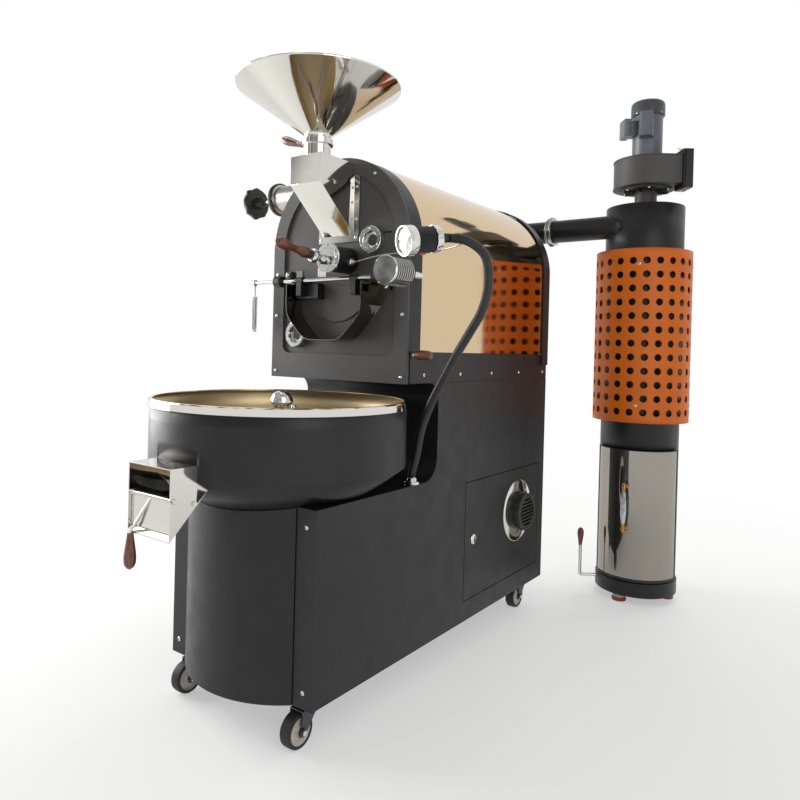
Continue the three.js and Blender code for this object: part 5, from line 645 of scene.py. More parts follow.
# %% Vent and lock
plate = lathe([(60, 246.3), (102, 246.3), (102, 247.6), (99.5, 248.8), (60, 248.8)], "x", VENT_AT,
              ring=True, sides=128)
piece("vent_plate", plate, MIRROR_STEEL, "side_vent", body="service_door")
cup = lathe([(62, 248.8), (62, 279), (60, 282.4), (56.5, 283.8), (51, 283.8), (51, 262), (0, 262),
             (0, 248.8)], "x", VENT_AT)
slots = []
for k in range(8):
    z = VENT_AT[1] - 40.25 + k * 11.5
    half = np.sqrt(49 ** 2 - (abs(z - VENT_AT[1]) + 3) ** 2)
    slots.append([(VENT_AT[0] - half, z - 2.6), (VENT_AT[0] + half, z - 2.6),
                  (VENT_AT[0] + half, z + 2.6), (VENT_AT[0] - half, z + 2.6)])
grille = sheet(circle(VENT_AT, 53, 96), slots, "x", 279, 283.4)
piece("vent_cup", [cup, grille], BLACK_PLASTIC, body="service_door", bevel=0.6)
piece("vent_screws", screw_heads(spots_round(VENT_AT, 86, (pi / 4, 3 * pi / 4, 5 * pi / 4, 7 * pi / 4),
                                             248.6), "x", 1, 4.0, 2.0), BRIGHT_CHROME,
      body="service_door")
barrel = lathe([(0, 224), (9.5, 224), (9.5, 246.3), (15.5, 246.3), (15.5, 248.0), (14, 250), (11, 250.6),
                (0, 250.6)], "x", LOCK_AT, sides=48)
cam = block(224, 227, 698, 712, 331.5, 399.5)
piece("lock_barrel", [barrel, cam], BRIGHT_CHROME, "door_lock", body="cam_lock")
# The slot is not cut: a thin black block on the barrel's face is painted shade for the slot's dark
# inside.
key_slot = push(rect(703.2, 706.8, 323, 340), "x", 249.0, 250.8)
piece("lock_key_slot_painted_shade", key_slot, SEAL_RUBBER_AND_HOLE_SHADE, body="cam_lock")

# %% [markdown]
# ## Castors
# Black zinc forks with a swivel head, and a hard black tread on a pale nylon hub. The forks are
# bent sheet, so the frame's solids serve once their edges are soft; the wheel is turned anew.

# %% Forks and wheels
# A wheel's axle lies this far in front of its swivel, one wheel radius above the floor.
TRAIL, WHEEL_RADIUS = 34, 40
BOLT_HEAD = [(0, 23.8), (6.6, 23.8), (6.6, 27.6), (5.4, 28.4), (0, 28.4)]
TREAD = [(31, -14), (37, -15), (39.4, -12), (40, -6), (40, 6), (39.4, 12), (37, 15), (31, 14)]
HUB = [(5.3, -14.5), (12, -15), (13, -11), (28, -10), (31.2, -13.6), (31.2, 13.6), (28, 10), (13, 11),
       (12, 15), (5.3, 14.5)]
for end, y in (("front", 42), ("rear", 1140)):
    for side, x in (("left", -195), ("right", 195)):
        refined(f"castor_fork_{end}_{side}", DARK_ZINC, 0.7)
        hub_at = (y - TRAIL, WHEEL_RADIUS)
        heads = [lathe(counted_from(x, BOLT_HEAD, out), "x", hub_at, sides=6) for out in (-1, 1)]
        piece(f"castor_bolt_{end}_{side}", heads, BRIGHT_CHROME, body=f"castor_swivel_{end}_{side}")
        tread = lathe(counted_from(x, TREAD), "x", hub_at, ring=True)
        hub = lathe(counted_from(x, HUB), "x", hub_at, ring=True, sides=72)
        piece(f"castor_tread_{end}_{side}", tread, TYRE_RUBBER, f"castor_wheel_{end}_{side}",
              body=f"wheel_{end}_{side}")
        piece(f"castor_hub_{end}_{side}", hub, WHEEL_PLASTIC, body=f"wheel_{end}_{side}")

# %% [markdown]
# ## Front plate and roasting chamber
# The plate is an arch: a raised frame round a sunk field that carries every fitting. Behind it a
# black band and a black hoop hold the polished cover like a barrel's rings.

# %% Arches
def bow_line(radius, t, height=ARCH_CENTRE):
    """(x, z) = (radius cos t, height + radius sin t)."""
    return np.stack([radius * np.cos(t), height + radius * np.sin(t)], 1)


def arch(radius, bottom, steps=96):
    """Up one leg, over the half circle and down the other leg."""
    return np.vstack([(-radius, bottom), (radius, bottom), bow_line(radius, np.linspace(0, pi, steps))])


def hoop(outer_radius, inner_radius, bottom, low, high, steps=128):
    """A sheet bent over the arch: the outer line up and over, the inner line back."""
    t = np.linspace(0, pi, steps)
    lines = [np.vstack([(r, bottom), bow_line(r, t), (-r, bottom)]) for r in (outer_radius, inner_radius)]
    ring = np.stack(lines, 1)
    sections = np.concatenate([spread(ring[:, :, 0], ring[:, :, 1], low, "y"),
                               spread(ring[:, ::-1, 0], ring[:, ::-1, 1], high, "y")], 1)
    return grid_shell(sections, capped=True)


def field_outline(half, bottom, corner, steps=72):
    """The sunk field: straight sides, a half circle over them and two small round corners below."""
    low = np.radians(np.linspace(180, 270, 9))
    left = np.stack([corner - half + corner * np.cos(low), bottom + corner + corner * np.sin(low)], 1)
    right = left[::-1] * (-1, 1)
    return np.vstack([left, right, bow_line(half, np.linspace(0, pi, steps))])


def lidded(radius, centre, top, steps=64):
    """The part of a disc below a level."""
    start_angle = np.arcsin((top - centre) / radius)
    t = np.linspace(pi - start_angle, tau + start_angle, steps)
    return bow_line(radius, t, centre)


holes = [lidded(108, 1092, 1058), circle((124, 1189), 20), circle((-145, 934), 20),
         circle((37, 1122), 12), rect(-51, 51, 1218, 1325)]
frame_sheet = sheet(arch(246, 808), [field_outline(203, 880, 25)], "y", 329, 337)
field = sheet(arch(243, 810), holes, "y", 337, 345)
piece("front_frame", frame_sheet, PLATE_POWDER_PAINTED_SHEEN, "front_plate", bevel=1.2)
piece("front_field", field, PLATE_POWDER_PAINTED_SHEEN, bevel=0.6)
piece("front_band", hoop(246, 243, 892.3, 337.2, 391), BLACK_POWDER, bevel=0.8)
piece("chamber_cover", hoop(245.6, 243, 892.3, 391.3, 1164.7), GOLD_MIRROR, "housing_cover")
rear_holes = [circle((0, 1375), 46)] + [rect(-90, 90, z, z + 8) for z in (940, 966, 992, 1018)]
piece("rear_hoop", [hoop(251, 246.3, 855, 1165, 1212),
                    sheet(arch(243, 892.3), rear_holes, "y", 1208, 1212)], BLACK_POWDER, "rear_plate",
      bevel=1.0)

plate_screws = spots_round((0, ARCH_CENTRE), 229, np.radians([56, 90, 124]), 329.0)
plate_screws += [(side * 229, z, 329.0) for side in (-1, 1) for z in (826, 989, 1110)]
piece("plate_screws", screw_heads(plate_screws, "y", -1, 4.6), BRIGHT_CHROME)

# %% [markdown]
# ## Hopper, gate and chute
# A spun steel funnel stands on a short collar. A wooden handle pulls the gate in the collar,
# and the beans slide down a chute of bent mirror sheet through the front plate.

# %% Funnel and gate
funnel = lathe([(33, 1403.3), (36, 1403.3), (36, 1436), (41, 1436), (42, 1437), (42, 1451), (41, 1452),
                (36, 1452), (36, 1458), (38, 1463), (217, 1586), (219.2, 1587.6), (220, 1590),
                (218.8, 1592), (216.4, 1591.6), (214.6, 1589), (36.5, 1466), (33, 1460)], "z", HOPPER_AT,
               ring=True, sides=160)
piece("funnel", funnel, MIRROR_STEEL, "hopper")
gate = push(np.vstack([circle(HOPPER_AT, 32.7, 64)[:17], circle(HOPPER_AT, 32.7, 64)[48:]]), "z", 1442.5,
            1445.5)
tail = block(-48, 0.5, 207.4, 272.6, 1442.5, 1445.5)
tilt = dict(turn=20, axis="Y", about=(-48, 240, 1444))
rod = moved(bar(4, -66, -46, "x", (240, 1444), sides=24), **tilt)
piece("gate_blade", [gate, tail, rod], SATIN_STEEL, "slide_gate", body="feed_gate", bevel=0.3)


def turned_handle(marks, fine, length, radius, foot, axis, centre, way, sides=48):
    """A handle closed at its foot: its width is read between a turner's marks, then smoothed.

    Width w_i = (w_(i-1) + 2 w_i + w_(i+1)) / 4, at place foot + way length fine_i. Marks are shares
    of the length and of the radius."""
    wide = radius * np.interp(fine, *np.array(marks).T)
    wide[1:-1] = (wide[:-2] + 2 * wide[1:-1] + wide[2:]) / 4
    profile = np.vstack([(0, foot), np.column_stack([wide, foot + way * length * fine])])
    return lathe(profile, axis, centre, sides=sides)


def drop(length, radius, foot, axis, centre, way=1.0):
    """A drop handle: slim at its foot, widest near its end."""
    marks = [(0, 0.5), (0.15, 0.6), (0.4, 0.82), (0.65, 1.0), (0.82, 0.94), (0.93, 0.64), (1.0, 0.0)]
    return turned_handle(marks, np.linspace(0, 1, 32), length, radius, foot, axis, centre, way)


piece("gate_handle", moved(drop(86, 12.5, -56, "x", (240, 1444), -1), **tilt), WOOD_ALONG_X,
      body="feed_gate")

# %% Chute
refined("feed_chute", MIRROR_STEEL, 0.7)
side_flange = rounded([(52, 1196), (72, 1196), (72, 1410), (52, 1414)], 2)
low_flange = rounded(rect(-72, 72, 1190, 1212), 3)
flanges = [sheet(side_flange, [], "y", 333.6, FIELD_FACE),
           sheet(side_flange * (-1, 1), [], "y", 333.6, FIELD_FACE),
           sheet(low_flange, [], "y", 333.0, FIELD_FACE)]
piece("chute_flanges", flanges, MIRROR_STEEL, bevel=0.4)
chute_screws = [(side * 63, z, 333.6) for side in (-1, 1) for z in (1252, 1299, 1340, 1394)]
chute_screws += [(side * 63, 1201, 333.0) for side in (-1, 1)]
piece("chute_screws", screw_heads(chute_screws, "y", -1, 4.2, 2.2), BRIGHT_CHROME)

# %% [markdown]
# ## Sight glasses and the sampler
# Two chrome rings hold glass over the drum and over the burner. The sampler is a black sleeve
# with a screwed chrome face; a trier with a wooden handle slides in it at a slight slope.

# %% Sights
for name, x, z in (("drum", 124, 1189), ("burner", -145, 934)):
    ring_shape = lathe([(16, FIELD_FACE), (38, FIELD_FACE), (38, 323), (36.5, 319.2), (34.5, 317.8),
                        (25, 317.8), (23.5, 319.5), (22.5, 323), (22.5, 332.7), (16, 332.7)], "y", (x, z),
                       ring=True)
    piece(name + "_sight_bezel", ring_shape, BRIGHT_CHROME, name + "_sight_ring")
    glass = lathe([(0, 327.4), (21.7, 327.4), (22.2, 328.2), (22.2, 332.0), (0, 332.0)], "y", (x, z),
                  sides=64)
    piece(name + "_sight_pane", glass, CLEAR_GLASS, name + "_sight_glass")
    spots = spots_round((x, z), 30, np.radians([90, 210, 330]), 318.0)
    piece(name + "_sight_screws", screw_heads(spots, "y", -1, 2.8, 1.6), BRIGHT_CHROME)

# %% Sampler and trier
sleeve = lathe([(0, FIELD_FACE), (35.5, FIELD_FACE), (35.5, 262), (33.8, 261), (33.8, 259), (35.5, 258),
                (35.5, 254.5), (0, 254.5)], "y", SAMPLER_AT)
boss = lathe([(0, 70), (9.6, 70), (9.6, 78.5), (8.6, 79.5), (6, 79.8), (6, 84), (4.6, 87), (0, 87)], "x",
             (303, 1129), sides=32)
piece("sampler_sleeve", sleeve, BLACK_POWDER, "sampler_housing")
piece("probe_boss", boss, BRIGHT_CHROME)
face = lathe([(0, 254.5), (39, 254.5), (40, 253.6), (40, 249.8), (39.2, 249), (27, 249), (26.4, 249.6),
              (25.8, 249.6), (25.2, 249), (0, 249)], "y", SAMPLER_AT)
piece("sampler_face", face, BRIGHT_CHROME)
spots = spots_round(SAMPLER_AT, 33, np.radians(np.arange(30, 390, 60)), 249.0)
piece("sampler_screws", screw_heads(spots, "y", -1, 2.6, 1.5), ZINC)

TRIER_AT = (37, 1127)
slope = dict(turn=-8, axis="X", about=(37, 254, TRIER_AT[1]))
stop = 254 - 5.05 - 4.71 - 0.3
collar_line = [(0, 0), (13, 0), (13, 16), (10.4, 22), (8.6, 26), (8.6, 37), (14, 39), (17.5, 43),
               (19, 49), (17.5, 55), (13, 59), (0, 60)]
collar = lathe(counted_from(stop, collar_line, -1), "y", TRIER_AT, sides=64)
ferrule_line = [(0, 58), (9.5, 58), (11.5, 61), (13.2, 78), (0, 79)]
ferrule = lathe(counted_from(stop, ferrule_line, -1), "y", TRIER_AT, sides=64)
rod = bar(8, stop - 60, 254 + 105, "y", TRIER_AT, sides=48)
t = np.radians(np.linspace(180, 360, 33))
r, y = np.array([(8, 358), (8, 446), (6.5, 446), (6.5, 358)]).T
scoop = spread(TRIER_AT[0] + r * np.cos(t[:, None]), TRIER_AT[1] + r * np.sin(t[:, None]), y, "y")
piece("trier_rod", [moved(collar, **slope), moved(rod, **slope),
                    moved(grid_shell(scoop, capped=True), **slope)], BRIGHT_CHROME, "trier",
      body="sample_trier")
piece("trier_ferrule", moved(ferrule, **slope), DARK_ZINC, body="sample_trier")
pear_marks = [(0, 0.84), (0.02, 0.96), (0.12, 0.97), (0.25, 0.78), (0.4, 0.6), (0.55, 0.7), (0.7, 0.96),
              (0.82, 1.0), (0.91, 0.88), (0.97, 0.55), (1.0, 0.0)]
pear = turned_handle(pear_marks, np.linspace(0, 1, 40) ** 0.9, 110, 15.5, stop - 77, "y", TRIER_AT, -1,
                     64)
piece("trier_handle", moved(pear, **slope), WOOD_ALONG_Y, body="sample_trier")

tag = rounded(rect(-76, -44, 1098, 1124), 2)
piece("bare_plate", sheet(tag, [], "y", 336.0, 336.8), SATIN_STEEL, bevel=0.2)

# %% [markdown]
# ## Discharge door
# A black lid hangs from two arms on a chrome shaft. The shaft's left end carries a lever with a
# coil grip; its right end a finned weight that shuts the lid again.

# %% Lid, arms and shaft
lid_plate = push(lidded(122, 1092, 1070, 96), "y", 331.7, FIELD_FACE)
piece("discharge_lid", lid_plate, PLATE_POWDER_PAINTED_SHEEN, "discharge_door", body="discharge_shaft", bevel=0.9)
shaft = lathe([(0, -291), (4.6, -291), (5.5, -290), (5.5, 281), (0, 281)], "x", SHAFT_AT, sides=40)
lever = lathe([(0, 1092), (4.8, 1092), (5.4, 1090), (4, 1074), (4, 944), (0, 944)], "z", LEVER_AT,
              sides=32)
foot = lathe([(0, 939), (7.6, 939), (9, 940.4), (9, 943), (8, 944), (0, 944)], "z", LEVER_AT, sides=40)
elbow_cap = lathe([(0, -295), (7.5, -295), (9, -293.6), (9, -281.5), (7.5, -281), (0, -281)], "x",
                  SHAFT_AT, sides=40)
piece("discharge_rod", [shaft, lever, foot, elbow_cap], BRIGHT_CHROME, "door_shaft",
      body="discharge_shaft")
arms = []
for x in (-98.5, 98.5):
    outline = rounded(rect(282, 331.4, 1040, 1092), 3.5)
    arms.append(sheet(outline, [circle((309, 1076), 5, 24), circle((309, 1060), 5, 24)], "x", x - 9,
                      x + 9))
    arms.append(pipe(5.6, 10, x - 12, x + 12, "x", SHAFT_AT, sides=40))
arms.append(push(rounded(rect(303, 331.4, 1034, 1076), 3), "x", -124, -44))
piece("discharge_arms", arms, BLACK_PLASTIC, body="discharge_shaft", bevel=0.7)

turns, pitch_mm, COIL_RADIUS, WIRE_RADIUS = 20, 4.9, 8, 1.9
t = np.linspace(0, tau * turns, turns * 28 + 1)
coil = spread(LEVER_AT[0] + COIL_RADIUS * np.cos(t), LEVER_AT[1] + COIL_RADIUS * np.sin(t),
              1044.3 - pitch_mm * t / tau, "z")
coil_side = np.stack([np.cos(t), np.sin(t), 0 * t], 1)
s = tau * np.arange(12) / 12
spokes = np.cos(s)[None, :, None] * coil_side[:, None] + np.sin(s)[None, :, None] * np.array([0, 0, 1.0])
wire = coil[:, None] + WIRE_RADIUS * spokes
piece("coil_grip", grid_shell(wire, capped=True), BRIGHT_CHROME, "lever_grip", body="discharge_shaft")

# %% [markdown]
# The weight is turned in one piece with nine thin fins that keep it cool enough to touch, and a
# lathe makes it here too: one profile goes in and out nine times.

# %% Finned weight
profile = [(0, 166), (33, 166), (35, 168)]
for k in range(9):
    y = 170 + k * 8.4
    profile += [(35, y), (35, y + 2.6), (21, y + 3.2), (21, y + 7.8)]
profile += [(34, 246), (33, 247.4), (9.5, 248), (9.5, 262), (7.6, 263), (7.6, 276), (8.8, 277),
            (8.8, 303), (7.6, 304), (7.6, 318), (6, 320), (0, 320)]
piece("finned_weight", lathe(profile, "y", WEIGHT_AT), BRIGHT_CHROME, "counterweight",
      body="discharge_shaft", smooth=24)

# %% Trough and its brackets
knees = rounded([(-136, 1075), (-136, 988), (-65, 917), (65, 917), (136, 988), (136, 1075)], 30,
                10)[11:-11]
line = np.vstack([(-136, 1075), knees, (136, 1075)])
step = np.gradient(line, axis=0)
across = np.stack([-step[:, 1], step[:, 0]], 1) / np.linalg.norm(step, axis=1)[:, None]
gutter = push(np.vstack([line, (line + 2.4 * across)[::-1]]), "y", 271, FIELD_FACE)
ears = [sheet(rounded(outline, 3), [], "y", 334.2, FIELD_FACE)
        for outline in ([(-134, 985), (-134, 1119), (-160, 1119), (-197, 1100), (-197, 1062)],
                        [(134, 985), (134, 1099), (168, 1099), (192, 1076), (188, 1048)])]
piece("trough_sheet", [gutter, *ears], DARK_MIRROR, "discharge_trough", bevel=0.5)
blocks = [lathe([(6.2, x0), (radius - 1.5, x0), (radius, x0 + 1.5), (radius, x1 - 1.5),
                 (radius - 1.5, x1), (6.2, x1)], "x", SHAFT_AT, ring=True, sides=56)
          for x0, x1, radius in ((-196, -170, 16.5), (158, 182, 12))]
blocks += [push(rounded(rect(x - 11, x + 11, z - 11, z + 11), 4), "y", 322, 334.2)
           for x, z in ((-180, 1106), (180, 1062))]
piece("bearing_blocks", blocks, BLACK_PLASTIC, bevel=0.8)
bolts = [(-180, 1106, 322), (180, 1062, 322)]
piece("trough_bolts", screw_heads(bolts, "y", -1, 6.0, 4.0), BRIGHT_CHROME)

# %% [markdown]
# ## Damper and pull knob
# A steel stub on the left holds the smoke damper, turned by a lobed black handwheel.

# %% Damper
stub = lathe([(38, -60), (40.5, -60), (40.5, -310), (49.5, -312), (49.5, -323), (48.5, -326),
              (40, -328.3), (6, -328.3), (6, -322), (38, -322)], "x", DAMPER_AT, ring=True)
piece("damper_stub", stub, SATIN_STEEL, "damper_tube")
piece("damper_seal", lathe([(41, -311), (50.3, -311.5), (51.4, -314), (51.4, -322), (50.3, -325.4),
                            (44, -327)], "x", DAMPER_AT, ring=True), SEAL_RUBBER_AND_HOLE_SHADE)
t = tau * np.arange(192) / 192
lobes = 51.5 - 5.6 * (0.5 - 0.5 * np.cos(8 * t)) ** 0.8
depths = [(-442, 0.86), (-440.5, 0.94), (-438, 0.985), (-434, 1.0), (-428, 1.0), (-424.5, 0.97),
          (-422, 0.9)]
dish = lathe([(44.3, -442), (38, -441), (34, -437), (20, -436), (17, -440), (12, -441.5), (0, -441.5)],
             "x", DAMPER_AT, sides=192)
back = lathe([(46.3, -422), (20, -421), (17, -412), (14, -396), (12, -394), (0, -394)], "x", DAMPER_AT,
             sides=192)
piece("damper_wheel_rim", [grid_shell(fluted(DAMPER_AT, lobes, depths)), dish, back], BLACK_PLASTIC,
      "damper_wheel", body="damper_handwheel")
spindle = lathe([(0, -398), (5.6, -398), (5.6, -372), (8.5, -370), (8.5, -352), (5.6, -350), (5.6, -284),
                 (34, -284), (34, -282), (0, -282)], "x", DAMPER_AT, sides=48)
piece("damper_spindle", spindle, BRIGHT_CHROME, body="damper_handwheel")

# %% Pull knob
knob = lathe([(0, 261), (10.4, 261), (12.4, 266), (13.1, 276), (13.1, 290), (12, 300), (9.5, 306),
              (5, 308), (0, 308.3)], "x", KNOB_AT, sides=64)
ferrule = lathe([(0, 186.5), (3, 186.5), (3, 246.3), (8, 246.3), (8, 260), (7.4, 261.3), (0, 261.3)], "x",
                KNOB_AT, sides=48)
piece("pull_knob_wood", knob, WOOD_ALONG_X, "side_knob", body="pull_knob")
piece("pull_knob_ferrule", ferrule, BRIGHT_CHROME, body="pull_knob")

# %% [markdown]
# ## Work lamp
# A small lamp on a gooseneck looks at the sampler: a ribbed black body between two bright rings,
# with a red press switch below.

# %% Lamp head
LAMP_FRONT, LAMP_AT = 341, (170, 1139)
LAMP_TILT, LAMP_YAW, SWITCH_X = -8.8, 67.0, 389.4


def on_lamp_turn(shell):
    """Tilts the lamp up by 8.8 degrees, then turns it towards the front about its switch."""
    tilted = moved(shell, turn=LAMP_TILT, axis="Y", about=(LAMP_FRONT, *LAMP_AT))
    return moved(tilted, turn=LAMP_YAW, about=(SWITCH_X, LAMP_AT[0], 0))


def lamp_lathe(profile, at=None, sides=96, ring=False):
    """A profile measured from the lamp's front, turned round the lamp's axis or another beside it."""
    return on_lamp_turn(lathe(counted_from(LAMP_FRONT, profile), "x", at or LAMP_AT, ring=ring,
                              sides=sides))


ribs = 40
ridge = np.where(np.arange(ribs * 4) % 4 < 2, 30.0, 28.4)
skin = fluted(LAMP_AT, ridge, [(LAMP_FRONT + x, share)
                               for x, share in ((22, 0.9), (24, 1.0), (72, 1.0), (74, 0.9))])
piece("lamp_barrel", on_lamp_turn(grid_shell(skin, capped=True)), BLACK_PLASTIC, "lamp_body", smooth=20)
front_ring = [(30, 1), (32, 0), (34, 0), (35, 1.2), (35, 21), (34, 23), (28, 23), (28, 12), (30, 12)]
rear_ring = [(26, 74), (31, 74), (32.5, 75), (32.5, 81), (31, 82), (31, 90), (29.5, 92), (12, 92),
             (12, 98), (8.5, 98), (8.5, 86)]
piece("lamp_rings", [lamp_lathe(line, ring=True) for line in (front_ring, rear_ring)], BRIGHT_CHROME)
lens_line = [(0, 1.6), (14, 2.0), (29.6, 3.4), (29.8, 8.6), (0, 8.6)]
piece("lamp_front_glass", lamp_lathe(lens_line, sides=80), CLEAR_GLASS, "lamp_lens")
diode_line = [(0, 9.6), (5.4, 9.2), (6.2, 9.0), (0, 8.9)]
reflector = [lamp_lathe(diode_line, at, 24) for at in circle(LAMP_AT, 15, 6).tolist()]
reflector.append(lamp_lathe(rect(0, 28, 11.5, 10), sides=64))
piece("lamp_diodes", reflector, MIRROR_STEEL)
button = lathe([(0, 1105.2), (4.6, 1105.2), (5.9, 1106.4), (5.9, 1114), (0, 1114)], "z", (390, 170),
               sides=40)
piece("lamp_press_switch", on_lamp_turn(button), RED_PLASTIC, "lamp_button", body="lamp_switch")

# %% Gooseneck
lamp_back = on_lamp_turn((np.array([(439.0, 170, 1139), (470.0, 170, 1139)]), None))[0]
goose = spline([lamp_back[0], lamp_back[1], (462, 250, 1150), (497, 262, 1122), (508, 268, 1084),
                (502, 278, 1036), (480, 290, 988), (446, 303, 945), (397, 318, 883), (344, 338, 812),
                (305, 356, 758), (268, 373, 690), (245, 388, 620), (226, 398, 572), (226, 398, 548)], 14)
length = np.concatenate([[0], np.cumsum(np.linalg.norm(np.diff(goose, axis=0), axis=1))])
mark = np.arange(0, length[-1], 0.85)
goose = np.stack([np.interp(mark, length, goose[:, k]) for k in range(3)], 1)
piece("gooseneck_sleeve", tube(goose, 10.4 + 0.45 * np.cos(tau * mark / 3.4), 28, guide=(0.2, 0.95, 0.1)),
      HOSE_PLASTIC, "lamp_arm", smooth=60)
foot = lathe([(10, 540.2), (20, 540.2), (20, 545), (18.5, 547), (13, 548), (12, 556), (10, 558)], "z",
             (226, 398), ring=True, sides=48)
piece("gooseneck_foot", foot, BRIGHT_CHROME)
probe = spline([(84, 303, 1129), (104, 302, 1131), (149, 312, 1141), (197, 320, 1146), (260, 320, 1145),
                (316, 312, 1141), (400, 290, 1146), (454, 257, 1150)], 16)
piece("probe_lead", tube(probe, 2.0, 12, guide=(0.1, 0.2, 0.97)), SATIN_STEEL)

# %% [markdown]
# ## Cooling tray
# A deep round pan with a rolled mirror rim, champagne steel inside, a perforated floor and a
# stirrer with a domed hub. The wall is open where the outlet box joins it.

# %% Pan
# The window for the outlet box, from corner to corner in x and in z.
WINDOW_X, WINDOW_Z = (-75.5, 67.5), (606.5, 637.5)
edge = np.degrees(np.arcsin(np.abs(WINDOW_X) / 318))
angles = np.unique(np.concatenate([np.linspace(0, 360, 181)[:-1], 270 - edge[:1], 270 + edge[1:]]))
levels = np.array([604.0, *WINDOW_Z, 680, 720, 764.5])
turn = np.radians(angles)


def pan_side(radius, zs):
    """Point (i, j) = the tray's axis + radius (cos t_j, sin t_j), at height z_i."""
    (x0, x1), (z0, z1) = WINDOW_X, WINDOW_Z
    points = spread(radius * np.cos(turn), TRAY_AT[1] + radius * np.sin(turn), zs[:, None], "z")
    return windowed(points, lambda x, y, z: (x > x0) & (x < x1) & (y < 0) & (z > z0) & (z < z1))


outside = pan_side(320, levels)
cone = lathe([(0, 524), (207, 524), (210, 525), (320, 604)], "z", TRAY_AT, sides=180)
piece("pan_wall", [outside, cone], BLACK_POWDER, "tray_body", wall=1.2)
piece("pan_lining", pan_side(318.4, levels), CHAMPAGNE, wall=1.2)
rim = lathe([(320.3, 750), (323, 750), (323, 766), (321.5, 768), (314, 768.3), (313, 767.2), (313, 765),
             (320.3, 765)], "z", TRAY_AT, ring=True, sides=256)
piece("pan_rim", rim, MIRROR_STEEL, "tray_rim")

# %% Perforated floor
rows = np.arange(60, 308, 9.0)
spots = np.vstack([np.stack([r * np.cos(a), TRAY_AT[1] + r * np.sin(a)], 1) for r in rows
                   for a in [np.arange(int(tau * r / 9)) * tau / int(tau * r / 9) + r]])
disc = pipe(15, 316.5, 604.3, 606.3, "z", TRAY_AT, sides=128)
piece("pan_floor", disc, CHAMPAGNE, "tray_floor")
# The holes are not cut: each is a small black octagon of painted shade laid just over the floor, for the
# dark seen through the perforation.
t = tau * np.arange(8) / 8
shade_dots = spots[:, None, :] + 2.2 * np.stack([np.cos(t), np.sin(t)], 1)[None]
shade_dots = np.concatenate([shade_dots, np.full((*shade_dots.shape[:2], 1), 606.4)], 2)
piece("floor_hole_painted_shade", (shade_dots.reshape(-1, 3), np.arange(len(spots) * 8).reshape(-1, 8).tolist()),
      SEAL_RUBBER_AND_HOLE_SHADE)
print("floor holes:", len(spots))

# %% [markdown]
# The stirrer's three arms carry blades that push the beans round and out, and its hub ends in a
# small polished dome that stands above the rim.

# %% Stirrer
hub = lathe([(0, 527.5), (12, 527.5), (12, 610), (34, 610), (34, 694), (31, 700), (20, 702), (19, 706),
             (19, 742), (20, 748), (26, 751), (29, 756), (28.4, 764), (25, 773), (19, 780), (10, 784),
             (0, 785)], "z", TRAY_AT)
blade_bar = block(-52.5, 52.5, -2, 2, 610.5, 656)
inner_at, outer_at = (125, TRAY_AT[1]), (221.25, TRAY_AT[1])
arms = []
for k in range(3):
    spin = dict(turn=120 * k, axis="Z", about=(*TRAY_AT, 0))
    arm = push(rounded(rect(17, 262, 682, 690), 2), "y", 119, 141)
    pin = lathe([(0, 684), (7, 684), (7, 735), (5.5, 738), (0, 738)], "z", inner_at, sides=32)
    post = bar(6, 632, 694, "z", outer_at, sides=24)
    blade = moved(blade_bar, by=(*outer_at, 0), turn=35)
    arms += [moved(shell, **spin) for shell in (arm, pin, post, blade)]
inner_post = bar(6, 632, 690, "z", inner_at, sides=24)
inner_blade = moved(blade_bar, by=(*inner_at, 0), turn=35)
arms += [moved(shell, turn=120, about=(*TRAY_AT, 0)) for shell in (inner_post, inner_blade)]
piece("stirrer_arms", arms, SATIN_STEEL, body="cooling_stirrer", bevel=0.5)
piece("stirrer_hub", hub, BRIGHT_CHROME, "stirrer", body="cooling_stirrer")

# %% [markdown]
# ## Outlet
# Cooled beans leave through a mirror steel box whose flap is held by a wire and a wooden grip.

# %% Outlet box and flap
refined("outlet_box", MIRROR_STEEL, 0.6)
flap = block(-74.5, 66.5, -243.2, -240.8, 503, 573)
hinge = bar(5, -83, 75, "x", (-242, 573), sides=32)
wire = tube([(-4, -242, 573), (-20, -246, 549), (-45, -251, 513), (-60, -252.6, 494), (-62, -253, 480),
             (-62, -253, 450)], 3.4, 20, guide=(0.9, 0.1, 0.3))
piece("flap_plate", [flap, hinge, wire], MIRROR_STEEL, "outlet_gate", body="outlet_flap", bevel=0.4)
piece("flap_handle", drop(80, 13.6, 487, "z", (-62, -253), -1), WOOD_ALONG_Z, body="outlet_flap")

# %% [markdown]
# ## Cyclone
# A black steel barrel behind the machine catches chaff. An orange guard of punched sheet keeps
# hands off its hot middle, and a polished hatch closes its ash drum.

# %% Barrel
# Radii in millimetres, and turns in degrees about the barrel's axis.
BARREL_RADIUS, GUARD_RADIUS, HEAD_TURN, GUARD_TURN = 139, 170, 36.6, -79
# The ash drum's opening: its turns, then its heights.
OPENING = (-141.0, -10.0, 92, 524)


def round_cyclone(radius, turn, z):
    """Point = the barrel's axis + radius (cos turn, sin turn), at height z."""
    return spread(CYCLONE_AT[0] + radius * np.cos(turn), CYCLONE_AT[1] + radius * np.sin(turn), z, "z")


def behind_hatch(x, y, z):
    """Whether a point lies in the ash drum's opening."""
    way = np.degrees(np.arctan2(y - CYCLONE_AT[1], x - CYCLONE_AT[0]))
    return (way > OPENING[0]) & (way < OPENING[1]) & (z > OPENING[2]) & (z < OPENING[3])


angles = np.unique(np.concatenate([np.linspace(-180, 180, 145)[:-1], OPENING[:2]]))
levels = np.array([80.3, *OPENING[2:], 700, 1300, 1448])
barrel = windowed(round_cyclone(BARREL_RADIUS, np.radians(angles)[None], levels[:, None]), behind_hatch)
top = lathe([(139, 1448), (138, 1449.6), (136, 1450), (36, 1450)], "z", CYCLONE_AT, sides=144)
piece("cyclone_barrel", [barrel, top], BLACK_POWDER, "cyclone_body", wall=4)
vortex = pipe(58, 62, 1166, 1445.5, "z", CYCLONE_AT, sides=72)
piece("vortex_tube", vortex, ZINC)

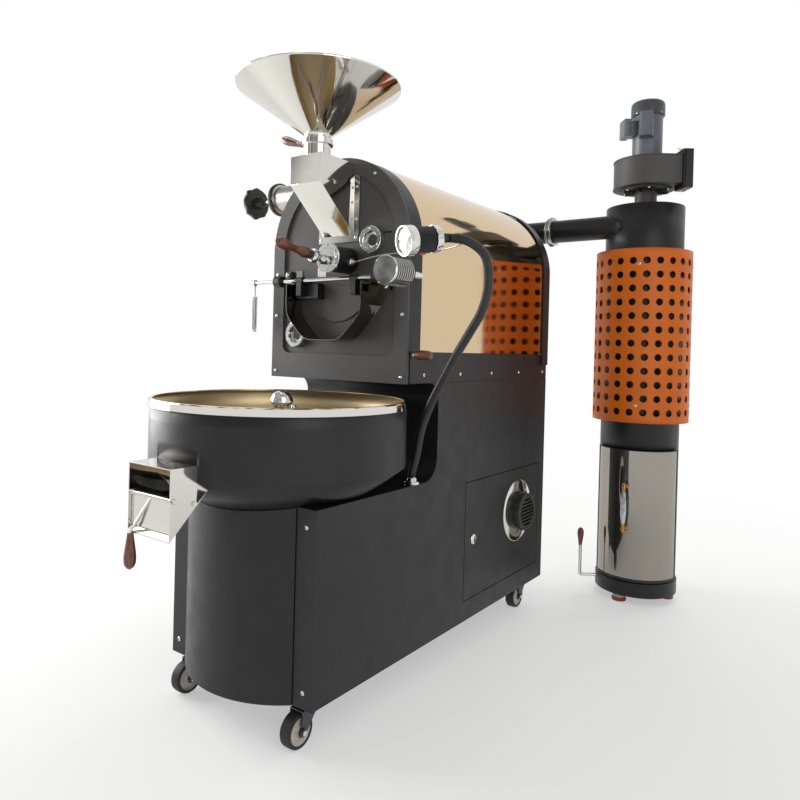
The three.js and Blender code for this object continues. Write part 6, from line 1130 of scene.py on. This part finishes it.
# %% Hatch with its seal
def bent(radius_out, radius_in, a0, a1, z0, z1, steps=96):
    """A rectangle bent round the barrel: its four corners carried through the angle."""
    t = np.radians(np.linspace(a0, a1, steps))
    radius, z = np.array([(radius_out, z0), (radius_out, z1), (radius_in, z1), (radius_in, z0)]).T
    return grid_shell(round_cyclone(radius, t[:, None], z), capped=True)


piece("hatch_sheet", bent(142.2, 139.4, -146, -5.5, 93, 554), DARK_MIRROR, "cyclone_hatch",
      body="chaff_hatch", bevel=0.5)
seal = [bent(143.4, 139.3, -149, -145.6, 84, 556, 6), bent(143.4, 139.3, -5.9, -2.4, 84, 556, 6),
        bent(143.4, 139.3, -149, -2.4, 84, 93.4), bent(142.8, 139.3, -149, -2.4, 553.6, 556)]
piece("hatch_seal", seal, SEAL_RUBBER_AND_HOLE_SHADE, body="chaff_hatch", bevel=0.8)
grip_at = (CYCLONE_AT[0], CYCLONE_AT[1] - 166)
grip = lathe([(0, 290), (4.2, 290), (7, 300), (9.6, 322), (10.4, 350), (9.6, 379), (7, 401), (4.2, 411),
              (0, 411)], "z", grip_at, sides=48)
piece("hatch_grip", grip, GLAZE, body="chaff_hatch")
ends = []
for low_end, way in ((290, -1), (411, 1)):
    cup = [(0, -1), (5.5, -1), (6.4, 2), (4.6, 6), (7, 12), (7, 18), (4.4, 24), (4.8, 28), (0, 33)]
    foot = [(0, 164), (4.6, 164), (4.6, 149), (8.5, 144), (8.5, 141.5), (0, 141.5)]
    ends.append(lathe(counted_from(low_end, cup, way), "z", grip_at, sides=40))
    ends.append(lathe(counted_from(CYCLONE_AT[1], foot, -1), "y", (CYCLONE_AT[0], low_end + way * 15),
                      sides=32))
piece("hatch_grip_ends", ends, BRASS, body="chaff_hatch")

# %% [markdown]
# The guard is one rolled sheet with round holes. Each hole sits in its own square of the sheet;
# between the square's rim and the hole's rim lie two rings of sixteen quads, and the whole grid is
# then wrapped round the barrel.

# %% Punched guard
columns, hole_rows, pitch_z, hole = 23, 12, 49.2, 12.8
low_z, high_z, first_row = 657.0, 1281.0, 38.0
cell_a, sides = tau / columns, 16
t = tau * np.arange(sides) / sides + pi / 4
square = np.stack([np.cos(t), np.sin(t)], 1)
square /= np.abs(square).max(1)[:, None]
column, row = np.meshgrid(np.arange(columns), np.arange(hole_rows), indexing="ij")
mid_a = (column.ravel() + 0.5) * cell_a
mid_z = low_z + first_row + row.ravel() * pitch_z


def round_holes(wide, tall):
    """The same loop (wide, tall) round the middle of every hole, on the flat sheet."""
    return np.stack([mid_a[:, None] + wide, mid_z[:, None] + tall], 2)


outer = round_holes(square[:, 0] * cell_a / 2, square[:, 1] * pitch_z / 2)
loops = [round_holes(share * hole / GUARD_RADIUS * np.cos(t), share * hole * np.sin(t))
         for share in (1.12, 1)]
flat = np.stack([outer, *loops], 1)
wrapped = round_cyclone(GUARD_RADIUS, flat[..., 0], flat[..., 1])
base = np.arange(len(mid_a))[:, None, None] * 3 * sides
i, j = np.meshgrid(np.arange(2), np.arange(sides), indexing="ij")
quads = np.stack([i * sides + j, i * sides + (j + 1) % sides, (i + 1) * sides + (j + 1) % sides,
                  (i + 1) * sides + j], -1)
faces = (base[..., None] + quads.reshape(1, 1, -1, 4)).reshape(-1, 4).tolist()
guard = [(wrapped.reshape(-1, 3), faces)]
for z0, z1 in ((low_z, mid_z.min() - pitch_z / 2), (mid_z.max() + pitch_z / 2, high_z)):
    t = np.unique(np.round(np.concatenate([outer[:, :, 0].ravel() % tau, np.arange(columns) * cell_a]),
                           9))
    t = t[t < tau - 1e-6]
    guard.append(grid_shell(round_cyclone(GUARD_RADIUS, t[None], np.array([[z0], [z1]]))))
piece("guard_sheet", guard, ORANGE_POWDER, "cyclone_jacket", wall=3)
spacers, guard_screws = [], []
for k in range(4):
    for z in (720, 1225):
        spacers.append(moved(block(139.3, 166.8, -12, 12, z - 6, z + 6), by=(*CYCLONE_AT, 0),
                             turn=GUARD_TURN + 90 * k))
        guard_screws.append(moved(screw_heads([(0, z, 169.9)], "x", 1, 5.5, 2.6)[0], by=(*CYCLONE_AT, 0),
                                  turn=GUARD_TURN + 90 * k))
piece("guard_spacers", spacers, BLACK_POWDER, bevel=0.5)
piece("guard_screws", guard_screws, BRIGHT_CHROME)

# %% Base, feet and ash crank
pan = lathe([(0, 28), (142, 28), (144, 30), (144, 78), (142, 80), (132, 80), (132, 32), (0, 32)], "z",
            CYCLONE_AT, sides=144)
piece("ash_pan_ring", pan, BLACK_POWDER, "cyclone_base")
feet, pads = [], []
for k in range(3):
    a = radians(-103 + 120 * k)
    spot = (CYCLONE_AT[0] + 110 * cos(a), CYCLONE_AT[1] + 110 * sin(a))
    feet.append(lathe([(0, 12), (22, 12), (22, 24), (17, 28), (0, 28)], "z", spot, sides=48))
    pads.append(lathe([(0, 0), (24, 0), (25, 1.5), (25, 10), (23.5, 12), (0, 12)], "z", spot, sides=48))
piece("foot_bosses", feet, ZINC)
piece("foot_pads", pads, ORANGE_RUBBER)
bend = spline([(-90, 0, 66), (-150, 0, 66), (-198, 0, 66), (-207, 0, 68), (-210, 0, 76), (-210, 0, 110),
               (-210, 0, 180)], 10)
turned = dict(by=(*CYCLONE_AT, 0), turn=HEAD_TURN)
piece("crank_rod", moved(tube(bend, 6.2, 24, guide=(0, 1, 0)), **turned), BRIGHT_CHROME, "ash_lever",
      body="ash_crank")
piece("crank_knob", moved(drop(68, 12, 176, "z", (-210, 0)), **turned), WOOD_ALONG_Z, body="ash_crank")

# %% [markdown]
# ## Fan on top
# A snail-shaped housing of black sheet on a short neck draws the smoke up. Its outlet collar
# takes a pipe; a grey motor with a capacitor box and a terminal box stands on it.

# %% Volute
def snail(inset, out, steps=120):
    """The spiral grows evenly from 98 to 126 mm over its sweep, then runs straight to the outlet."""
    t = np.linspace(0, 1, steps)
    angle = np.radians(-47 + 317 * t)
    radius = 98 + 28 * t - inset
    spiral = np.stack([radius * np.cos(angle), radius * np.sin(angle)], 1)
    return np.vstack([spiral, (out, inset - 126), (out, -72 - inset), (spiral[0, 0], -72 - inset)])


def on_head(shells):
    """Turns shells drawn round the drawing's zero and sets them on the cyclone's axis."""
    return [moved(shell, by=(*CYCLONE_AT, 0), turn=HEAD_TURN) for shell in shells]


low, high, mouth_at = 1521.0, 1625.0, 82.0
housing = [push(snail(0, mouth_at), "z", low + 2, high - 2),
           push(snail(-2.5, mouth_at), "z", low, low + 2.5),
           push(snail(-2.5, mouth_at), "z", high - 2.5, high)]
neck = pipe(36, 39.5, 1450.3, low, "z", (0, 0), sides=72)
flange_disc = pipe(36, 92, low - 6, low - 0.3, "z", (0, 0))
collar = lathe([(39.5, 1450.4), (52, 1450.4), (52, 1454), (50, 1456), (39.5, 1456)], "z", (0, 0),
               ring=True, sides=72)
piece("snail_housing", on_head(housing + [neck, flange_disc, collar]), PLATE_POWDER_PAINTED_SHEEN, "fan_volute",
      bevel=0.6)
mouth_out = rounded(rect(-138, -60, 1503, 1643), 5)
mouth_in = rounded(rect(-122, -76, 1524, 1622), 2)
flange = [sheet(mouth_out, [mouth_in], "x", mouth_at, mouth_at + 3),
          sheet(mouth_out, [mouth_in], "x", mouth_at + 7, mouth_at + 34)]
seal = sheet(rounded(rect(-134, -64, 1507, 1639), 4), [mouth_in], "x", mouth_at + 3, mouth_at + 7)
piece("outlet_flanges", on_head(flange), BLACK_POWDER, bevel=1.6)
piece("outlet_seal", on_head([seal]), SEAL_RUBBER_AND_HOLE_SHADE)
wings = []
for y, z, way in ((-99, 1503, -1), (-99, 1643, 1)):
    stud = bar(3, z, z + way * 9, "z", (mouth_at + 5, y), sides=16)
    ear = rounded([(mouth_at - 5, z + way * 4), (mouth_at + 15, z + way * 4),
                   (mouth_at + 18, z + way * 10), (mouth_at + 5, z + way * 7),
                   (mouth_at - 8, z + way * 10)], 1.2)
    wings += [stud, push(ear, "y", y - 1.5, y + 1.5)]
piece("wing_bolts", on_head(wings), BRIGHT_CHROME)
under = screw_heads(spots_round((0, 0), 80, np.arange(6) * tau / 6 + 0.3, low - 6), "z", -1, 5, 3.6)
piece("neck_bolts", on_head(under), BRIGHT_CHROME)
rim_bolts = screw_heads(spots_round((0, 0), 126, np.arange(8) * tau / 8 + 0.2, 1450.0), "z", 1, 4.2, 3)
piece("barrel_top_bolts", on_head(rim_bolts), BRIGHT_CHROME)

# %% Fan motor
motor_line = [(0, 0), (60, 0), (62, 1.2), (62, 6), (60, 7.5), (54, 8), (53.5, 16), (52, 19), (52, 24),
              (53.5, 27), (53.5, 175), (0, 175)]
motor = [lathe(counted_from(high, motor_line), "z", (0, 0), sides=120)]
cap = lathe([(48, 1794), (58.5, 1794), (60.5, 1796.5), (60.5, 1834), (58.6, 1842), (53, 1847.5),
             (44, 1849.5), (0, 1850)], "z", (0, 0), sides=120)
piece("motor_barrel", on_head(motor), MOTOR_ENAMEL, "fan_motor", bevel=0.6)
piece("motor_cap", on_head([cap]), CAP_ENAMEL)
terminal = push(rounded(rect(-97, -70, -31, 31), 8), "z", 1714, 1778)
riser = push(rounded(rect(-78, -45, -28, 28), 5), "z", 1720, 1772)
lid_line = push(rounded(rect(-84.5, -82, -32, 32), 0.6), "z", 1713, 1779)
front_box = spread(*np.array([(-24, -66), (-22, -88), (-14, -93), (14, -93), (22, -88), (24, -66),
                              (24, -40), (-24, -40)], float).T, 0.0, "z")
levels = np.array([(1702, 0.8), (1712, 1.0), (1792, 1.0)])
front_box = np.stack([front_box * (1, 1, 0) + (0, (1 - share) * -40 * 0.5, z) for z, share in levels])
capacitor = moved(grid_shell(front_box, capped=True), turn=-24.6)
piece("motor_boxes", on_head([terminal, riser, lid_line, capacitor]), MOTOR_ENAMEL, bevel=2.4)
cap_screws = [moved(screw_heads([(0, 1800, 60.3)], "x", 1, 3.2, 2)[0], by=(*CYCLONE_AT, 0),
                    turn=HEAD_TURN + 90 * k + 30) for k in range(4)]
piece("cap_screws", cap_screws, BRIGHT_CHROME)

# %% [markdown]
# ## Smoke pipe
# A black steel pipe leaves the back of the chamber, bends once and enters the barrel at a tangent.
# A band clamp sits on it past the bend, and a weld runs round the place where it enters.

# %% Pipe and clamp
PIPE_RADIUS, PIPE_Y, PIPE_Z, BEND, WELD = 43, 1440, 1375.0, 80, 43.6
along_y = np.stack([np.zeros(12), np.linspace(882, 1350, 12), np.full(12, PIPE_Z)], 1)
t = np.linspace(0, pi / 2, 28)
corner_arc = np.stack([BEND - BEND * np.cos(t), PIPE_Y - BEND + BEND * np.sin(t),
                       np.full(28, PIPE_Z)], 1)
along_x = np.stack([np.linspace(90, 440, 12), np.full(12, PIPE_Y), np.full(12, PIPE_Z)], 1)
route = np.vstack([along_y, corner_arc, along_x])
outer_skin = tube(route, PIPE_RADIUS, 72, capped=False)
piece("smoke_pipe", outer_skin, BLACK_POWDER, "exhaust_pipe", wall=2.5)
band_line = [(43.2, 0), (52.5, 0), (53.5, 1), (53.5, 5), (52.5, 6), (43.2, 6)]
band = [lathe(counted_from(x, band_line), "x", (PIPE_Y, PIPE_Z), ring=True) for x in (146, 164)]
band.append(lathe([(43.2, 151), (49, 152), (49, 164), (43.2, 165)], "x", (PIPE_Y, PIPE_Z), ring=True))
band += [block(150, 166, 1434, 1446, PIPE_Z + low, PIPE_Z + low + 10) for low in (47, -57)]
piece("pipe_band", band, SATIN_STEEL, bevel=0.6)
t = tau * np.arange(73) / 72
weld_line = np.stack([CYCLONE_AT[0] - np.sqrt(139.6 ** 2 - (WELD * np.cos(t) - 90) ** 2),
                      PIPE_Y + WELD * np.cos(t), PIPE_Z + WELD * np.sin(t)], 1)
piece("pipe_weld", tube(weld_line, 2.4, 10, guide=(1, 0.02, 0.03)), BLACK_POWDER)
